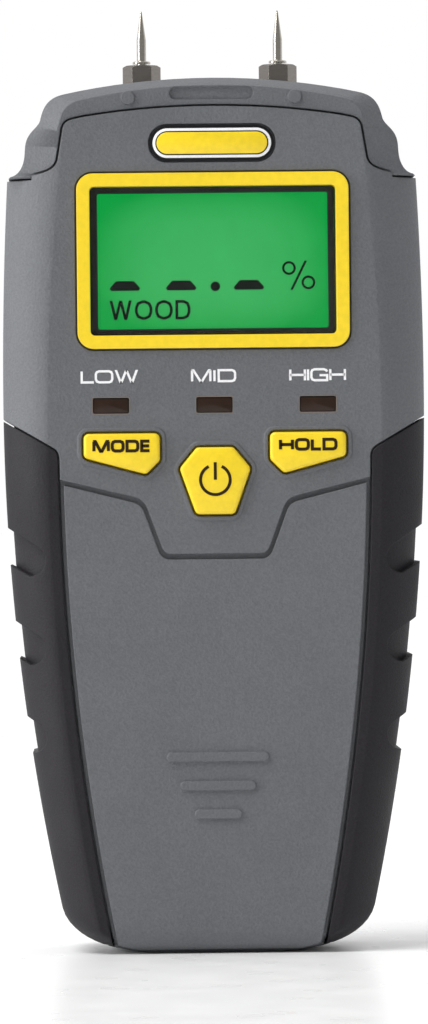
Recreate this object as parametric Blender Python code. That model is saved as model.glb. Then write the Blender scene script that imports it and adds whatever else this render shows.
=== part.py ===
"""Pin-type moisture meter, standing on its base with the pins up and the display facing -Y."""

import bmesh
import bpy
import math
from mathutils import Matrix, Vector

# Driving dimensions, in metres. X is to the right of the display, Y to the rear, Z up.
HALF_WIDTH = 0.035
WIDEST_Z = 0.092
TAPER_BELOW = 1.26
TAPER_ABOVE = 0.77
SHOULDER_Z = 0.1282
CORNER_Z = 0.0075
CORNER_X = 0.012
FRONT_Y = -0.0139
REAR_Y = 0.015
BASE_ROUND = 0.004
SIDE_BEVEL_DEPTH = 0.0065
REAR_BEVEL = 0.0055
RIDGE_X = 0.0275
WALL = 0.002
GAP = 0.0003
PARTING_GAP = 0.00015
CAVITY_INSET = 0.0043
THROUGH_Y = (-0.02, 0.02)
SEAT_Y = -0.0130
CONTROL_HOLE_Y = -0.0110

GRIP_THICKNESS = 0.0014
GRIP_INNER_X = 0.026
GRIP_CURVE = 1.19
GRIP_CURVE_Z = 0.085
GRIP_TOP_OUTER = (0.038, 0.0901)
GRIP_TOP_INNER = (0.0272, 0.0838)
GRIP_BOTTOM_Z = 0.0013
GRIP_EDGE_TOP_Z = 0.0815
FAR_X = 0.038
NOTCH_DEPTH = 0.0009
NOTCH_MIDDLES_Z = (0.0673, 0.0526, 0.0379)
NOTCH_INNER_X = 0.0282
NOTCH_HALF_HEIGHT = 0.0031
NOTCH_END_RADIUS = 0.0026
NOTCH_DROP = 0.0058
NOTCH_SLOPE = math.radians(33)

HEAD_DEPTH = (-0.0129, 0.0115)
HEAD_SIDE_Y = (-0.0102, 0.0088)
TONGUE_TOP_Z = 0.1401
TONGUE_CORNER = (0.0245, 0.1379)
SEAM_WIDTH = 0.0006
HEAD_TOP_Z = 0.145
HEAD_ARC_RADIUS = 0.118
HEAD_FACE_X = 0.0255

DOOR_RAIL = 0.0009
DOOR_TOP_Z = 0.0779
DOOR_LIP = 0.0006
DOOR_BOTTOM_Z = 0.0006
DOOR_REAR_Y = -0.0100
RIBS = ((0.0169, 0.0325), (0.0125, 0.02775), (0.0078, 0.02305))
RIB_HEIGHT = 0.00155
RIB_PROUD = 0.00045
RIB_RADIUS = 0.00077

DISPLAY_Z = 0.1146
BEZEL_SIZE = (0.045, 0.029)
BEZEL_OPENING = (0.0407, 0.0246)
BEZEL_FRONT_Y = -0.0144
LCD_SIZE = (0.0381, 0.0224)
WINDOW_SIZE = (0.0401, 0.0240)
SLEEVE_SIZE = (0.0426, 0.0266)
BEZEL_SEAM_Y = -0.0133
LAMP_Z = 0.0907
LAMP_X = 0.0171
LAMP_SIZE = (0.0058, 0.0024)
BUTTON_FRONT_Y = -0.015
BUTTON_EDGE = 0.0005
BUTTON_FLANGE = 0.0009
BUTTON_FLANGE_Y = (-0.0115, -0.0107)
BUTTON_CLEARANCE = 0.00035
BADGE_SIZE = (0.0205, 0.0058)
BADGE_Z = 0.134
LABEL_SIZE = (0.040, 0.024)
LABEL_Z = 0.1
LABEL_RADIUS = 0.002

PIN_X = 0.0114
PIN_RADIUS = 0.00078
PIN_TIP_Z = 0.157
PIN_CONE_Z = 0.1523
PIN_BOTTOM_Z = 0.1395
FLANGE_RADIUS = 0.0015
FLANGE_RISE = 0.0007
NUT_TOP_Z = 0.1478
NUT_BOTTOM_Z = 0.1437
NUT_CORNER_RADIUS = 0.003175
SOCKET_RADIUS = 0.0022

BATTERY_SIZE = (0.0265, 0.0175, 0.0485)
BATTERY_LOW = (-0.01325, -0.0095, 0.0105)
POST_X = 0.00635
SNAP_TOP = 0.0045
BOARD_X = 0.021
BOARD_Y = (-0.0045, -0.0029)
BOARD_Z = (0.0695, 0.124)
CASE_SCREWS = ((-0.026, 0.118), (0.026, 0.118), (-0.015, 0.0055), (0.015, 0.0055))
SCREW_HEAD_RADIUS = 0.0023
SCREW_HEAD_Y = (0.0053, 0.0071)
BOARD_SCREWS = ((-0.0175, 0.0725), (0.0175, 0.0725), (-0.0175, 0.0975), (0.0175, 0.0975))

meter = None


# Making meshes and objects

def clear_scene():
    for obj in list(bpy.data.objects):
        bpy.data.objects.remove(obj, do_unlink=True)


def material(name, colour, roughness=0.5, metallic=0.0):
    made = bpy.data.materials.get(name)
    if made is None:
        made = bpy.data.materials.new(name)
        made.use_nodes = True
        shader = made.node_tree.nodes["Principled BSDF"]
        shader.inputs["Base Color"].default_value = (*colour, 1)
        shader.inputs["Roughness"].default_value = roughness
        shader.inputs["Metallic"].default_value = metallic
        made.diffuse_color = (*colour, 1)
    return made


def finish(name, mesh_maker, finish_of=None, origin=(0, 0, 0)):
    """Turns a bmesh into a named object; without a material it is a hidden cutter."""
    bmesh.ops.recalc_face_normals(mesh_maker, faces=mesh_maker.faces)
    bmesh.ops.translate(mesh_maker, verts=mesh_maker.verts, vec=-Vector(origin))
    mesh = bpy.data.meshes.new(name)
    mesh_maker.to_mesh(mesh)
    mesh_maker.free()
    mesh.shade_smooth()
    mesh.set_sharp_from_angle(angle=math.radians(30))
    obj = bpy.data.objects.new(name, mesh)
    obj.location = origin
    bpy.context.scene.collection.objects.link(obj)
    if finish_of is None:
        obj.hide_render = True
        obj.display_type = "WIRE"
    else:
        mesh.materials.append(finish_of)
        obj.parent = meter
    return obj


def combine(target, other, operation):
    change = target.modifiers.new(operation.lower(), "BOOLEAN")
    change.object = other
    change.operation = operation
    change.solver = "EXACT"
    return target


def rings_mesh(rings):
    """Skins a closed solid over rings that have the same number of points."""
    made = bmesh.new()
    rows = [[made.verts.new(point) for point in ring] for ring in rings]
    for low, high in zip(rows, rows[1:]):
        for here in range(len(low)):
            after = (here + 1) % len(low)
            made.faces.new((low[here], low[after], high[after], high[here]))
    made.faces.new(list(reversed(rows[0])))
    made.faces.new(rows[-1])
    return made


def prism(name, outline, y_low, y_high, finish_of=None, origin=(0, 0, 0)):
    """Extrudes an (x, z) outline along Y."""
    rings = [[(x, y, z) for x, z in outline] for y in (y_low, y_high)]
    return finish(name, rings_mesh(rings), finish_of, origin)


def box(name, x, y, z, finish_of=None, rounding=0.0, origin=(0, 0, 0)):
    """A box between two values on each axis, with its edges rounded when rounding is given."""
    made = bmesh.new()
    bmesh.ops.create_cube(made, size=1)
    sizes = [high - low for low, high in (x, y, z)]
    middle = [(high + low) / 2 for low, high in (x, y, z)]
    bmesh.ops.scale(made, verts=made.verts, vec=sizes)
    bmesh.ops.translate(made, verts=made.verts, vec=middle)
    if rounding:
        bmesh.ops.bevel(made, geom=list(made.edges), offset=rounding, offset_type="OFFSET",
                        affect="EDGES", segments=1, profile=0.5, material=-1)
    return finish(name, made, finish_of, origin)


def rod(name, radius, start, end, finish_of=None, sides=16, end_radius=None, origin=(0, 0, 0)):
    """A round or many-sided bar between two points, tapered when end_radius is given."""
    made = bmesh.new()
    run = Vector(end) - Vector(start)
    turn = run.to_track_quat("Z", "Y").to_matrix().to_4x4()
    corner_first = Matrix.Rotation(math.radians(90), 4, "Z")
    place = Matrix.Translation((Vector(start) + Vector(end)) / 2) @ turn @ corner_first
    top = radius if end_radius is None else end_radius
    bmesh.ops.create_cone(made, cap_ends=True, segments=sides, radius1=radius, radius2=top,
                          depth=run.length, matrix=place)
    return finish(name, made, finish_of, origin)


def turned(name, profile, centre, finish_of=None, sides=20):
    """Turns (radius, z) points, listed from the top down, about a vertical axis at centre."""
    made = bmesh.new()
    points = [made.verts.new((radius, 0, z)) for radius, z in profile]
    edges = [made.edges.new(pair) for pair in zip(points, points[1:])]
    bmesh.ops.spin(made, geom=points + edges, cent=(0, 0, 0), axis=(0, 0, 1),
                   angle=math.tau, steps=sides, use_merge=True)
    bmesh.ops.remove_doubles(made, verts=made.verts, dist=1e-6)
    bmesh.ops.translate(made, verts=made.verts, vec=(*centre, 0))
    return finish(name, made, finish_of)


def tube(name, radius, points, finish_of):
    """A wire along a smooth run of points, with closed ends."""
    curve = bpy.data.curves.new(name, "CURVE")
    curve.dimensions = "3D"
    curve.bevel_depth = radius
    curve.bevel_resolution = 2
    curve.use_fill_caps = True
    spline = curve.splines.new("POLY")
    spline.points.add(len(points) - 1)
    for knot, point in zip(spline.points, points):
        knot.co = (*point, 1)
    curve.materials.append(finish_of)
    obj = bpy.data.objects.new(name, curve)
    bpy.context.scene.collection.objects.link(obj)
    obj.parent = meter
    return obj


def smooth_run(corners, steps=14):
    """Points along one smooth curve that starts and ends at the first and last corner."""
    order = len(corners) - 1
    run = []
    for step in range(steps + 1):
        part = step / steps
        point = Vector([0] * len(corners[0]))
        for index, corner in enumerate(corners):
            weight = math.comb(order, index) * part ** index * (1 - part) ** (order - index)
            point += weight * Vector(corner)
        run.append(tuple(point))
    return run


def mirrored(outline):
    """Adds the left half to the right half of an outline, which runs from the axis to the axis."""
    left = [(-x, z) for x, z in reversed(outline) if x > 1e-6]
    return list(outline) + left


def flipped(outline):
    return [(-x, z) for x, z in outline]


def arc(centre, radius, start, end, steps):
    """Points on an arc, with angles in degrees from +X towards +Z."""
    points = []
    for step in range(steps + 1):
        angle = math.radians(start + (end - start) * step / steps)
        points.append((centre[0] + radius * math.cos(angle), centre[1] + radius * math.sin(angle)))
    return points


def rounded_rectangle(size, centre, radius, steps=4):
    half_x = size[0] / 2 - radius
    half_z = size[1] / 2 - radius
    outline = []
    for x, z, start in ((1, 1, 0), (-1, 1, 90), (-1, -1, 180), (1, -1, 270)):
        corner = (centre[0] + x * half_x, centre[1] + z * half_z)
        outline += arc(corner, radius, start, start + 90, steps)
    return outline


def rounded_polygon(corners, radius, steps=3):
    """Rounds every corner of an outline listed anticlockwise."""
    outline = []
    count = len(corners)
    for index, corner in enumerate(corners):
        here = Vector(corner)
        back = (Vector(corners[index - 1]) - here).normalized()
        forth = (Vector(corners[(index + 1) % count]) - here).normalized()
        half_angle = back.angle(forth) / 2
        reach = radius / math.tan(half_angle)
        middle = here + (back + forth).normalized() * radius / math.sin(half_angle)
        first = here + back * reach - middle
        bulges_out = back.cross(forth) < 0
        turn = (math.pi - 2 * half_angle) * (1 if bulges_out else -1)
        for step in range(steps + 1):
            angle = turn * step / steps
            spot = middle + Matrix.Rotation(angle, 2) @ first
            outline.append((spot.x, spot.y))
    return outline


def grown(outline, amount):
    """Moves every side of an anticlockwise outline outwards by amount, with mitred corners."""
    moved = []
    for index, point in enumerate(outline):
        spot = Vector(point)
        back = (spot - Vector(outline[index - 1])).normalized()
        forth = (Vector(outline[(index + 1) % len(outline)]) - spot).normalized()
        out = Vector((back.y + forth.y, -back.x - forth.x))
        spot += out * amount / max(0.3, 1 + back.dot(forth))
        moved.append((spot.x, spot.y))
    return moved


# The casing's shape, which the shells, grips and door share

def casing_half_width(z):
    away = z - WIDEST_Z
    half = HALF_WIDTH - (TAPER_BELOW if away < 0 else TAPER_ABOVE) * away ** 2
    if z < CORNER_Z:
        rise = min(1, 1 - z / CORNER_Z)
        half -= CORNER_X * (1 - math.sqrt(1 - rise ** 2))
    return half


def base_setback(z):
    """How far the front and rear faces lean in near the base."""
    rise = min(1, max(0, 1 - z / BASE_ROUND))
    return BASE_ROUND * (1 - math.sqrt(1 - rise ** 2))


def grip_inner_x(z):
    """The grips' inner edges bow in towards the base, in line with the sides."""
    return GRIP_INNER_X - GRIP_CURVE * (GRIP_CURVE_Z - z) ** 2


def casing_ring(z, side_inset, face_inset, halves):
    """One level cut through the casing, anticlockwise seen from above."""
    half = casing_half_width(z) - side_inset
    front = FRONT_Y + base_setback(z) + face_inset
    rear = REAR_Y - base_setback(z) - face_inset
    ridge = min(RIDGE_X, grip_inner_x(z) + 0.0015, half - 0.004) - 0.4 * min(side_inset, face_inset)
    right = []
    for step in range(7):
        angle = math.pi / 2 * step / 6
        x = ridge + (half - ridge) * math.sin(angle) ** 1.4
        y = front + SIDE_BEVEL_DEPTH * (1 - max(0, math.cos(angle)) ** 1.4)
        right.append((x, y))
    rear_round = []
    for step in range(5):
        angle = math.pi / 2 * step / 4
        x = half - REAR_BEVEL * (1 - math.cos(angle))
        rear_round.append((x, rear - REAR_BEVEL * (1 - math.sin(angle))))
    if halves == "front":
        right.append((half, -PARTING_GAP))
    elif halves == "rear":
        right = [(half, PARTING_GAP)] + rear_round
    else:
        right += rear_round
    left = [(-x, y) for x, y in reversed(right)]
    return [(x, y, z) for x, y in right + left]


def casing_block(name, side_inset=0.0, face_inset=0.0, halves="all", low=0.0, high=0.142,
                 finish_of=None):
    """The casing's outer shape as one solid, or the same shape set in by a wall's thickness."""
    levels = [low]
    base = [0.0006, 0.0014, 0.0026, 0.004, 0.0055, 0.0075]
    sides = [0.0165, 0.027, 0.038, 0.049, 0.060, 0.071, 0.082, 0.092, 0.104, 0.116, 0.1275]
    levels += [z for z in base + sides if low + 0.0003 < z < high - 0.0005]
    levels.append(high)
    rings = [casing_ring(z, side_inset, face_inset, halves) for z in levels]
    return finish(name, rings_mesh(rings), finish_of)


def face_outline():
    """The front shell seen from the front, with the raised tongue that rises over the head."""
    corner_x, corner_z = TONGUE_CORNER
    outline = [(0, -0.01), (0.05, -0.01), (0.05, SHOULDER_Z), (0.0338, SHOULDER_Z)]
    outline += smooth_run([(0.0334, 0.1286), (0.0275, 0.1290), (0.0256, 0.1297), (0.0254, 0.1320)], 6)
    outline += smooth_run([(0.0247, 0.1362), (0.0246, 0.1378), (corner_x - 0.0016, corner_z + 0.0002)], 3)
    radius = (corner_x ** 2 + (TONGUE_TOP_Z - corner_z) ** 2) / (2 * (TONGUE_TOP_Z - corner_z))
    for x in (0.018, 0.012, 0.006, 0):
        outline.append((x, TONGUE_TOP_Z - x ** 2 / (2 * radius)))
    return mirrored(outline)


def grip_outline(side):
    """One grip seen from the front: a bowed inner edge and a top edge that climbs outwards."""
    outline = [(grip_inner_x(GRIP_BOTTOM_Z), GRIP_BOTTOM_Z), (GRIP_TOP_OUTER[0], GRIP_BOTTOM_Z)]
    outline += [GRIP_TOP_OUTER, GRIP_TOP_INNER]
    outline += smooth_run([(0.0266, 0.0834), (0.0259, 0.0829),
                           (grip_inner_x(GRIP_EDGE_TOP_Z), GRIP_EDGE_TOP_Z)], 3)
    for step in range(1, 8):
        z = GRIP_EDGE_TOP_Z + (GRIP_BOTTOM_Z - GRIP_EDGE_TOP_Z) * step / 8
        outline.append((grip_inner_x(z), z))
    return outline if side > 0 else list(reversed(flipped(outline)))


def notch_outline(side, middle_z):
    """One finger notch: a slanted channel with a round inner end, open at the side."""
    slope = math.tan(NOTCH_SLOPE)
    reach = FAR_X - NOTCH_INNER_X
    inner = Vector((NOTCH_INNER_X, middle_z - NOTCH_DROP * slope))
    outline = [(FAR_X, inner.y + reach * slope - NOTCH_HALF_HEIGHT),
               (FAR_X, inner.y + reach * slope + NOTCH_HALF_HEIGHT)]
    outline += arc((inner.x + NOTCH_END_RADIUS, inner.y + NOTCH_END_RADIUS * slope), NOTCH_END_RADIUS,
                   120, 270, 6)
    return outline if side > 0 else list(reversed(flipped(outline)))


def door_outline(side_shift, bottom_z):
    """The battery door seen from the front; side_shift moves its sides from the grips' edges."""
    outline = [(0, bottom_z)]
    for step in range(9):
        z = bottom_z + (DOOR_TOP_Z - bottom_z) * step / 8
        outline.append((grip_inner_x(z) + side_shift, z))
    outline += [(0.0130, 0.07486), (0.0120, 0.0740), (0.0095, 0.0668), (0.0083, 0.0657), (0, 0.0655)]
    return mirrored(outline)


def power_outline():
    right = [(0.0032, 0.0726), (0.0059, 0.0802), (0.00302, 0.0837)]
    return rounded_polygon(right + [(-x, z) for x, z in reversed(right)], 0.0009)


def side_button_outline(side):
    corners = [(0.0114, 0.0793), (0.0217, 0.0821), (0.0217, 0.0861), (0.0091, 0.0861), (0.0091, 0.0816)]
    outline = rounded_polygon(corners, 0.0009)
    return outline if side > 0 else list(reversed(flipped(outline)))


def head_outlines():
    """The head's outline and the smaller one of its front and rear faces, point for point."""
    outer = [(0, SHOULDER_Z + GAP), (0.0337, SHOULDER_Z + GAP), (0.0326, 0.1292), (0.0315, 0.1302),
             (0.0308, 0.1320), (0.0309, 0.1331), (0.03115, 0.1338), (0.03115, 0.1351),
             (0.0303, 0.1361), (0.0287, 0.1371), (0.0283, 0.1385), (0.0276, 0.1402),
             (0.0264, 0.1416), (0.0246, 0.1424)]
    for x in (0.018, 0.012, 0.006, 0):
        outer.append((x, HEAD_TOP_Z - x ** 2 / (2 * HEAD_ARC_RADIUS)))
    face = []
    for x, z in outer:
        face.append((min(0.891 * x, HEAD_FACE_X), SHOULDER_Z + GAP + 0.915 * (z - SHOULDER_Z - GAP)))
    return mirrored(outer), mirrored(face)


# Cutters that several pieces share

def shell_region(name, outline, depth, rear=THROUGH_Y[1]):
    """A cutter: everything inside an outline down to a depth below the casing's surface."""
    region = prism(name, outline, THROUGH_Y[0], rear)
    core = casing_block(name + "_core", depth, depth, low=depth)
    return combine(region, core, "DIFFERENCE")


def grip_pocket(side, name):
    outline = grown(grip_outline(side), GAP)
    return shell_region(name, outline, GRIP_THICKNESS + GAP)


# The casing

def front_shell(grey):
    shell = casing_block("front_shell", halves="front", high=0.141, finish_of=grey)
    combine(shell, prism("face_cutter", face_outline(), *THROUGH_Y), "INTERSECT")
    combine(shell, casing_block("front_cavity", CAVITY_INSET, WALL, low=WALL), "DIFFERENCE")
    combine(shell, box("head_room", (-0.04, 0.04), (FRONT_Y + WALL, 0.01), (SHOULDER_Z, 0.15)),
            "DIFFERENCE")
    for screw, (x, z) in enumerate(CASE_SCREWS):
        boss = rod(f"front_boss_{screw}", 0.0026, (x, -0.0122, z), (x, -0.0003, z))
        combine(shell, boss, "UNION")
    for screw, (x, z) in enumerate(BOARD_SCREWS):
        boss = rod(f"board_boss_{screw}", 0.0022, (x, -0.0122, z), (x, BOARD_Y[0] - GAP, z))
        combine(shell, boss, "UNION")
    deck_edge = [(0, 0), (0.0245, 0), (0.0245, 0.0791), (0.0110, 0.0757), (0.0110, 0.0700), (0, 0.0700)]
    deck = prism("deck", mirrored(deck_edge), -0.0121, -0.0098)
    combine(deck, casing_block("deck_limit", 0.0008, 0.0008, low=0.0008), "INTERSECT")
    tray = box("tray", (-0.0153, 0.0153), (-0.0105, 0.0098), (0.0091, 0.0675))
    combine(shell, combine(deck, tray, "UNION"), "UNION")
    for side, name in ((-1, "left"), (1, "right")):
        combine(shell, grip_pocket(side, f"front_{name}_pocket"), "DIFFERENCE")
    combine(shell, shell_region("lip_recess", grown(door_outline(-0.0004, -0.002), 0.0006),
                                DOOR_LIP + GAP, DOOR_REAR_Y), "DIFFERENCE")
    combine(shell, shell_region("deck_recess", grown(door_outline(-0.0009, -0.002), -0.0005),
                                WALL + GAP, DOOR_REAR_Y), "DIFFERENCE")
    combine(shell, box("battery_way", (-0.0138, 0.0138), (THROUGH_Y[0], 0.0083), (0.0102, 0.0620)),
            "DIFFERENCE")
    combine(shell, box("snap_way", (-0.0138, 0.0138), (-0.0097, 0.0083), (0.0600, 0.0660)),
            "DIFFERENCE")
    combine(shell, box("lead_way", (-0.0050, 0.0050), (-0.0025, 0.0060), (0.0640, 0.0700)),
            "DIFFERENCE")
    bezel_seat = rounded_rectangle([side + 2 * GAP for side in BEZEL_SIZE], (0, DISPLAY_Z), 0.003)
    combine(shell, prism("bezel_seat", bezel_seat, THROUGH_Y[0], SEAT_Y), "DIFFERENCE")
    bezel_hole = rounded_rectangle((0.0432, 0.0272), (0, DISPLAY_Z), 0.0018)
    combine(shell, prism("bezel_hole", bezel_hole, -0.014, -0.011), "DIFFERENCE")
    badge_seat = rounded_rectangle([side + 2 * GAP for side in BADGE_SIZE], (0, BADGE_Z), 0.00319, 6)
    combine(shell, prism("badge_seat", badge_seat, THROUGH_Y[0], SEAT_Y), "DIFFERENCE")
    for index in (-1, 0, 1):
        hole = [side + 2 * GAP for side in LAMP_SIZE]
        outline = rounded_rectangle(hole, (index * LAMP_X, LAMP_Z), 0.0004, 2)
        combine(shell, prism(f"lamp_hole_{index}", outline, THROUGH_Y[0], CONTROL_HOLE_Y), "DIFFERENCE")
    for name, outline in (("mode", side_button_outline(-1)), ("power", power_outline()),
                          ("hold", side_button_outline(1))):
        well = prism(f"{name}_well", grown(outline, BUTTON_CLEARANCE), THROUGH_Y[0], CONTROL_HOLE_Y)
        combine(shell, well, "DIFFERENCE")
    for screw, (x, z) in enumerate(CASE_SCREWS + BOARD_SCREWS):
        pilot = rod(f"pilot_{screw}", 0.0014, (x, -0.0105, z), (x, 0.002, z), sides=12)
        combine(shell, pilot, "DIFFERENCE")
    return shell


def rear_shell(grey):
    shell = casing_block("rear_shell", halves="rear", high=SHOULDER_Z, finish_of=grey)
    cavity = casing_block("rear_cavity", CAVITY_INSET, WALL, low=WALL)
    combine(shell, cavity, "DIFFERENCE")
    for screw, (x, z) in enumerate(CASE_SCREWS):
        boss = rod(f"rear_boss_{screw}", 0.0032, (x, 0.0003, z), (x, 0.0132, z))
        combine(shell, boss, "UNION")
    for side, name in ((-1, "left"), (1, "right")):
        combine(shell, grip_pocket(side, f"rear_{name}_pocket"), "DIFFERENCE")
    for screw, (x, z) in enumerate(CASE_SCREWS):
        shank = rod(f"shank_hole_{screw}", 0.0014, (x, -0.002, z), (x, 0.016, z), sides=12)
        sink = rod(f"counterbore_{screw}", 0.0026, (x, 0.005, z), (x, 0.016, z))
        combine(combine(shell, shank, "DIFFERENCE"), sink, "DIFFERENCE")
    seat = rounded_rectangle([side + 2 * GAP for side in LABEL_SIZE], (0, LABEL_Z), LABEL_RADIUS + GAP)
    combine(shell, prism("label_seat", seat, 0.0144, THROUGH_Y[1]), "DIFFERENCE")
    return shell


def pin_head(grey):
    outer, face = head_outlines()
    rings = []
    for y, outline in ((HEAD_DEPTH[0], face), (HEAD_SIDE_Y[0], outer), (HEAD_SIDE_Y[1], outer),
                       (HEAD_DEPTH[1], face)):
        rings.append([(x, y, z) for x, z in outline])
    head = finish("pin_head", rings_mesh(rings), grey)
    combine(head, box("spigot", (-0.027, 0.027), (-0.0020, 0.0105), (0.1215, 0.1290)), "UNION")
    combine(head, box("head_hollow", (-0.0242, 0.0242), (-0.0093, 0.0085), (0.1270, 0.1365)),
            "DIFFERENCE")
    combine(head, box("spigot_hollow", (-0.0252, 0.0252), (-0.0005, 0.0090), (0.12, 0.1300)),
            "DIFFERENCE")
    tongue = grown(face_outline(), SEAM_WIDTH)
    combine(head, prism("tongue_seat", tongue, THROUGH_Y[0], -0.0116), "DIFFERENCE")
    slot = rounded_rectangle((0.0139, 0.0021), (0, 0.1423), 0.00104)
    combine(head, prism("slot", slot, THROUGH_Y[0], HEAD_DEPTH[0] + 0.0005), "DIFFERENCE")
    for side in (-1, 1):
        x = side * PIN_X
        dot = rod(f"dot_{side}", 0.0014, (side * 0.0138, -0.0120, 0.1416),
                  (side * 0.0138, HEAD_DEPTH[0] - 0.0004, 0.1416), end_radius=0.0010)
        combine(head, dot, "UNION")
        bore = rod(f"socket_bore_{side}", SOCKET_RADIUS + GAP, (x, 0, 0.130), (x, 0, 0.150))
        sink = rod(f"nut_sink_{side}", 0.0036, (x, 0, NUT_BOTTOM_Z - GAP), (x, 0, 0.150), sides=24)
        combine(combine(head, bore, "DIFFERENCE"), sink, "DIFFERENCE")
    return head


def grips(rubber):
    for side, name in ((-1, "left"), (1, "right")):
        grip = casing_block(f"{name}_grip", finish_of=rubber)
        combine(grip, prism(f"{name}_grip_region", grip_outline(side), *THROUGH_Y), "INTERSECT")
        combine(grip, casing_block(f"{name}_grip_core", GRIP_THICKNESS, GRIP_THICKNESS,
                                   low=GRIP_THICKNESS), "DIFFERENCE")
        for index, middle_z in enumerate(NOTCH_MIDDLES_Z):
            notch = shell_region(f"{name}_notch_{index}", notch_outline(side, middle_z), NOTCH_DEPTH)
            combine(grip, notch, "DIFFERENCE")


def battery_door(grey, foam):
    door = casing_block("battery_door", halves="front", low=DOOR_BOTTOM_Z, finish_of=grey)
    combine(door, prism("door_region", door_outline(-DOOR_RAIL, 0), THROUGH_Y[0], FRONT_Y + WALL),
            "INTERSECT")
    rim = box("door_rim", (-0.029, 0.029), (THROUGH_Y[0], 0.0), (-0.005, 0.081))
    combine(rim, prism("door_middle", grown(door_outline(-0.0017, -0.01), -0.0008), -0.03, 0.01),
            "DIFFERENCE")
    lip_core = casing_block("lip_core", DOOR_LIP, DOOR_LIP, low=0.0002)
    combine(door, combine(rim, lip_core, "INTERSECT"), "DIFFERENCE")
    for index, (width, z) in enumerate(RIBS):
        outline = rounded_rectangle((width, RIB_HEIGHT), (0, z), RIB_RADIUS)
        combine(door, prism(f"rib_{index}", outline, FRONT_Y - RIB_PROUD, FRONT_Y + 0.001), "UNION")
    box("door_foam_pad", (-0.010, 0.010), (-0.0116, -0.0099), (0.020, 0.050), foam, 0.0003)


# The display and the controls

def display(yellow, clear, dark, glass, white, rubber):
    bezel = prism("display_bezel", rounded_rectangle(BEZEL_SIZE, (0, DISPLAY_Z), 0.0027),
                  BEZEL_FRONT_Y, BEZEL_SEAM_Y, yellow)
    sleeve = rounded_rectangle(SLEEVE_SIZE, (0, DISPLAY_Z), 0.0015)
    combine(bezel, prism("bezel_sleeve", sleeve, -0.0135, -0.0114), "UNION")
    opening = rounded_rectangle(BEZEL_OPENING, (0, DISPLAY_Z), 0.0008)
    combine(bezel, prism("bezel_opening", opening, THROUGH_Y[0], 0), "DIFFERENCE")
    window = rounded_rectangle(WINDOW_SIZE, (0, DISPLAY_Z), 0.0006)
    prism("display_window", window, BEZEL_SEAM_Y, -0.0123, clear)
    gasket = prism("display_gasket", rounded_rectangle(WINDOW_SIZE, (0, DISPLAY_Z), 0.0006),
                   -0.0119, -0.0112, dark)
    view = rounded_rectangle(LCD_SIZE, (0, DISPLAY_Z), 0.0003, 1)
    combine(gasket, prism("gasket_view", view, THROUGH_Y[0], 0), "DIFFERENCE")
    low, high = DISPLAY_Z - 0.0128, DISPLAY_Z + 0.0128
    box("lcd_panel", (-0.0205, 0.0205), (-0.0109, -0.0087), (low, high), glass)
    box("light_guide", (-0.0200, 0.0200), (-0.0084, -0.0062), (low + 0.004, high), white)
    box("contact_strip", (-0.0190, 0.0190), (-0.0084, BOARD_Y[0] - GAP), (low + 0.0004, low + 0.0022),
        rubber)


def lamps(smoked, lamp_white):
    for index, name in ((-1, "low"), (0, "mid"), (1, "high")):
        x = index * LAMP_X
        outline = rounded_rectangle(LAMP_SIZE, (x, LAMP_Z), 0.0003, 2)
        prism(f"{name}_window", outline, FRONT_Y + 0.0003, -0.0114, smoked)
        box(f"{name}_lamp", (x - 0.0016, x + 0.0016), (-0.0078, BOARD_Y[0] - GAP),
            (LAMP_Z - 0.0010, LAMP_Z + 0.0010), lamp_white, 0.0003)


def button(name, outline, middle, yellow, dark):
    """A key cap with a flange behind the shell, over its switch and plunger."""
    x, z = middle
    origin = (x, BUTTON_FRONT_Y, z)
    crown = grown(outline, -BUTTON_EDGE)
    rings = []
    for y, ring in ((BUTTON_FRONT_Y, crown), (BUTTON_FRONT_Y + BUTTON_EDGE, outline), (-0.0112, outline)):
        rings.append([(px, y, pz) for px, pz in ring])
    cap = finish(f"{name}_button", rings_mesh(rings), yellow, origin)
    combine(cap, prism(f"{name}_flange", grown(outline, BUTTON_FLANGE), *BUTTON_FLANGE_Y), "UNION")
    rod(f"{name}_plunger", 0.0017, (x, -0.0104, z), (x, -0.0093, z), dark, origin=origin)
    box(f"{name}_switch", (x - 0.003, x + 0.003), (-0.0082, BOARD_Y[0] - GAP), (z - 0.003, z + 0.003),
        dark, 0.0003)


# The electronics, battery and fasteners

def board(green, black):
    made = box("main_board", (-BOARD_X, BOARD_X), BOARD_Y, BOARD_Z, green)
    for screw, (x, z) in enumerate(BOARD_SCREWS):
        hole = rod(f"board_hole_{screw}", 0.0012, (x, -0.006, z), (x, -0.001, z), sides=12)
        combine(made, hole, "DIFFERENCE")
    box("controller_chip", (-0.006, 0.006), (BOARD_Y[1] + GAP, -0.0010), (0.104, 0.116), black, 0.0002)
    rod("buzzer", 0.0045, (0.011, BOARD_Y[1] + GAP, 0.085), (0.011, 0.0030, 0.085), black, 24)


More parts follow.
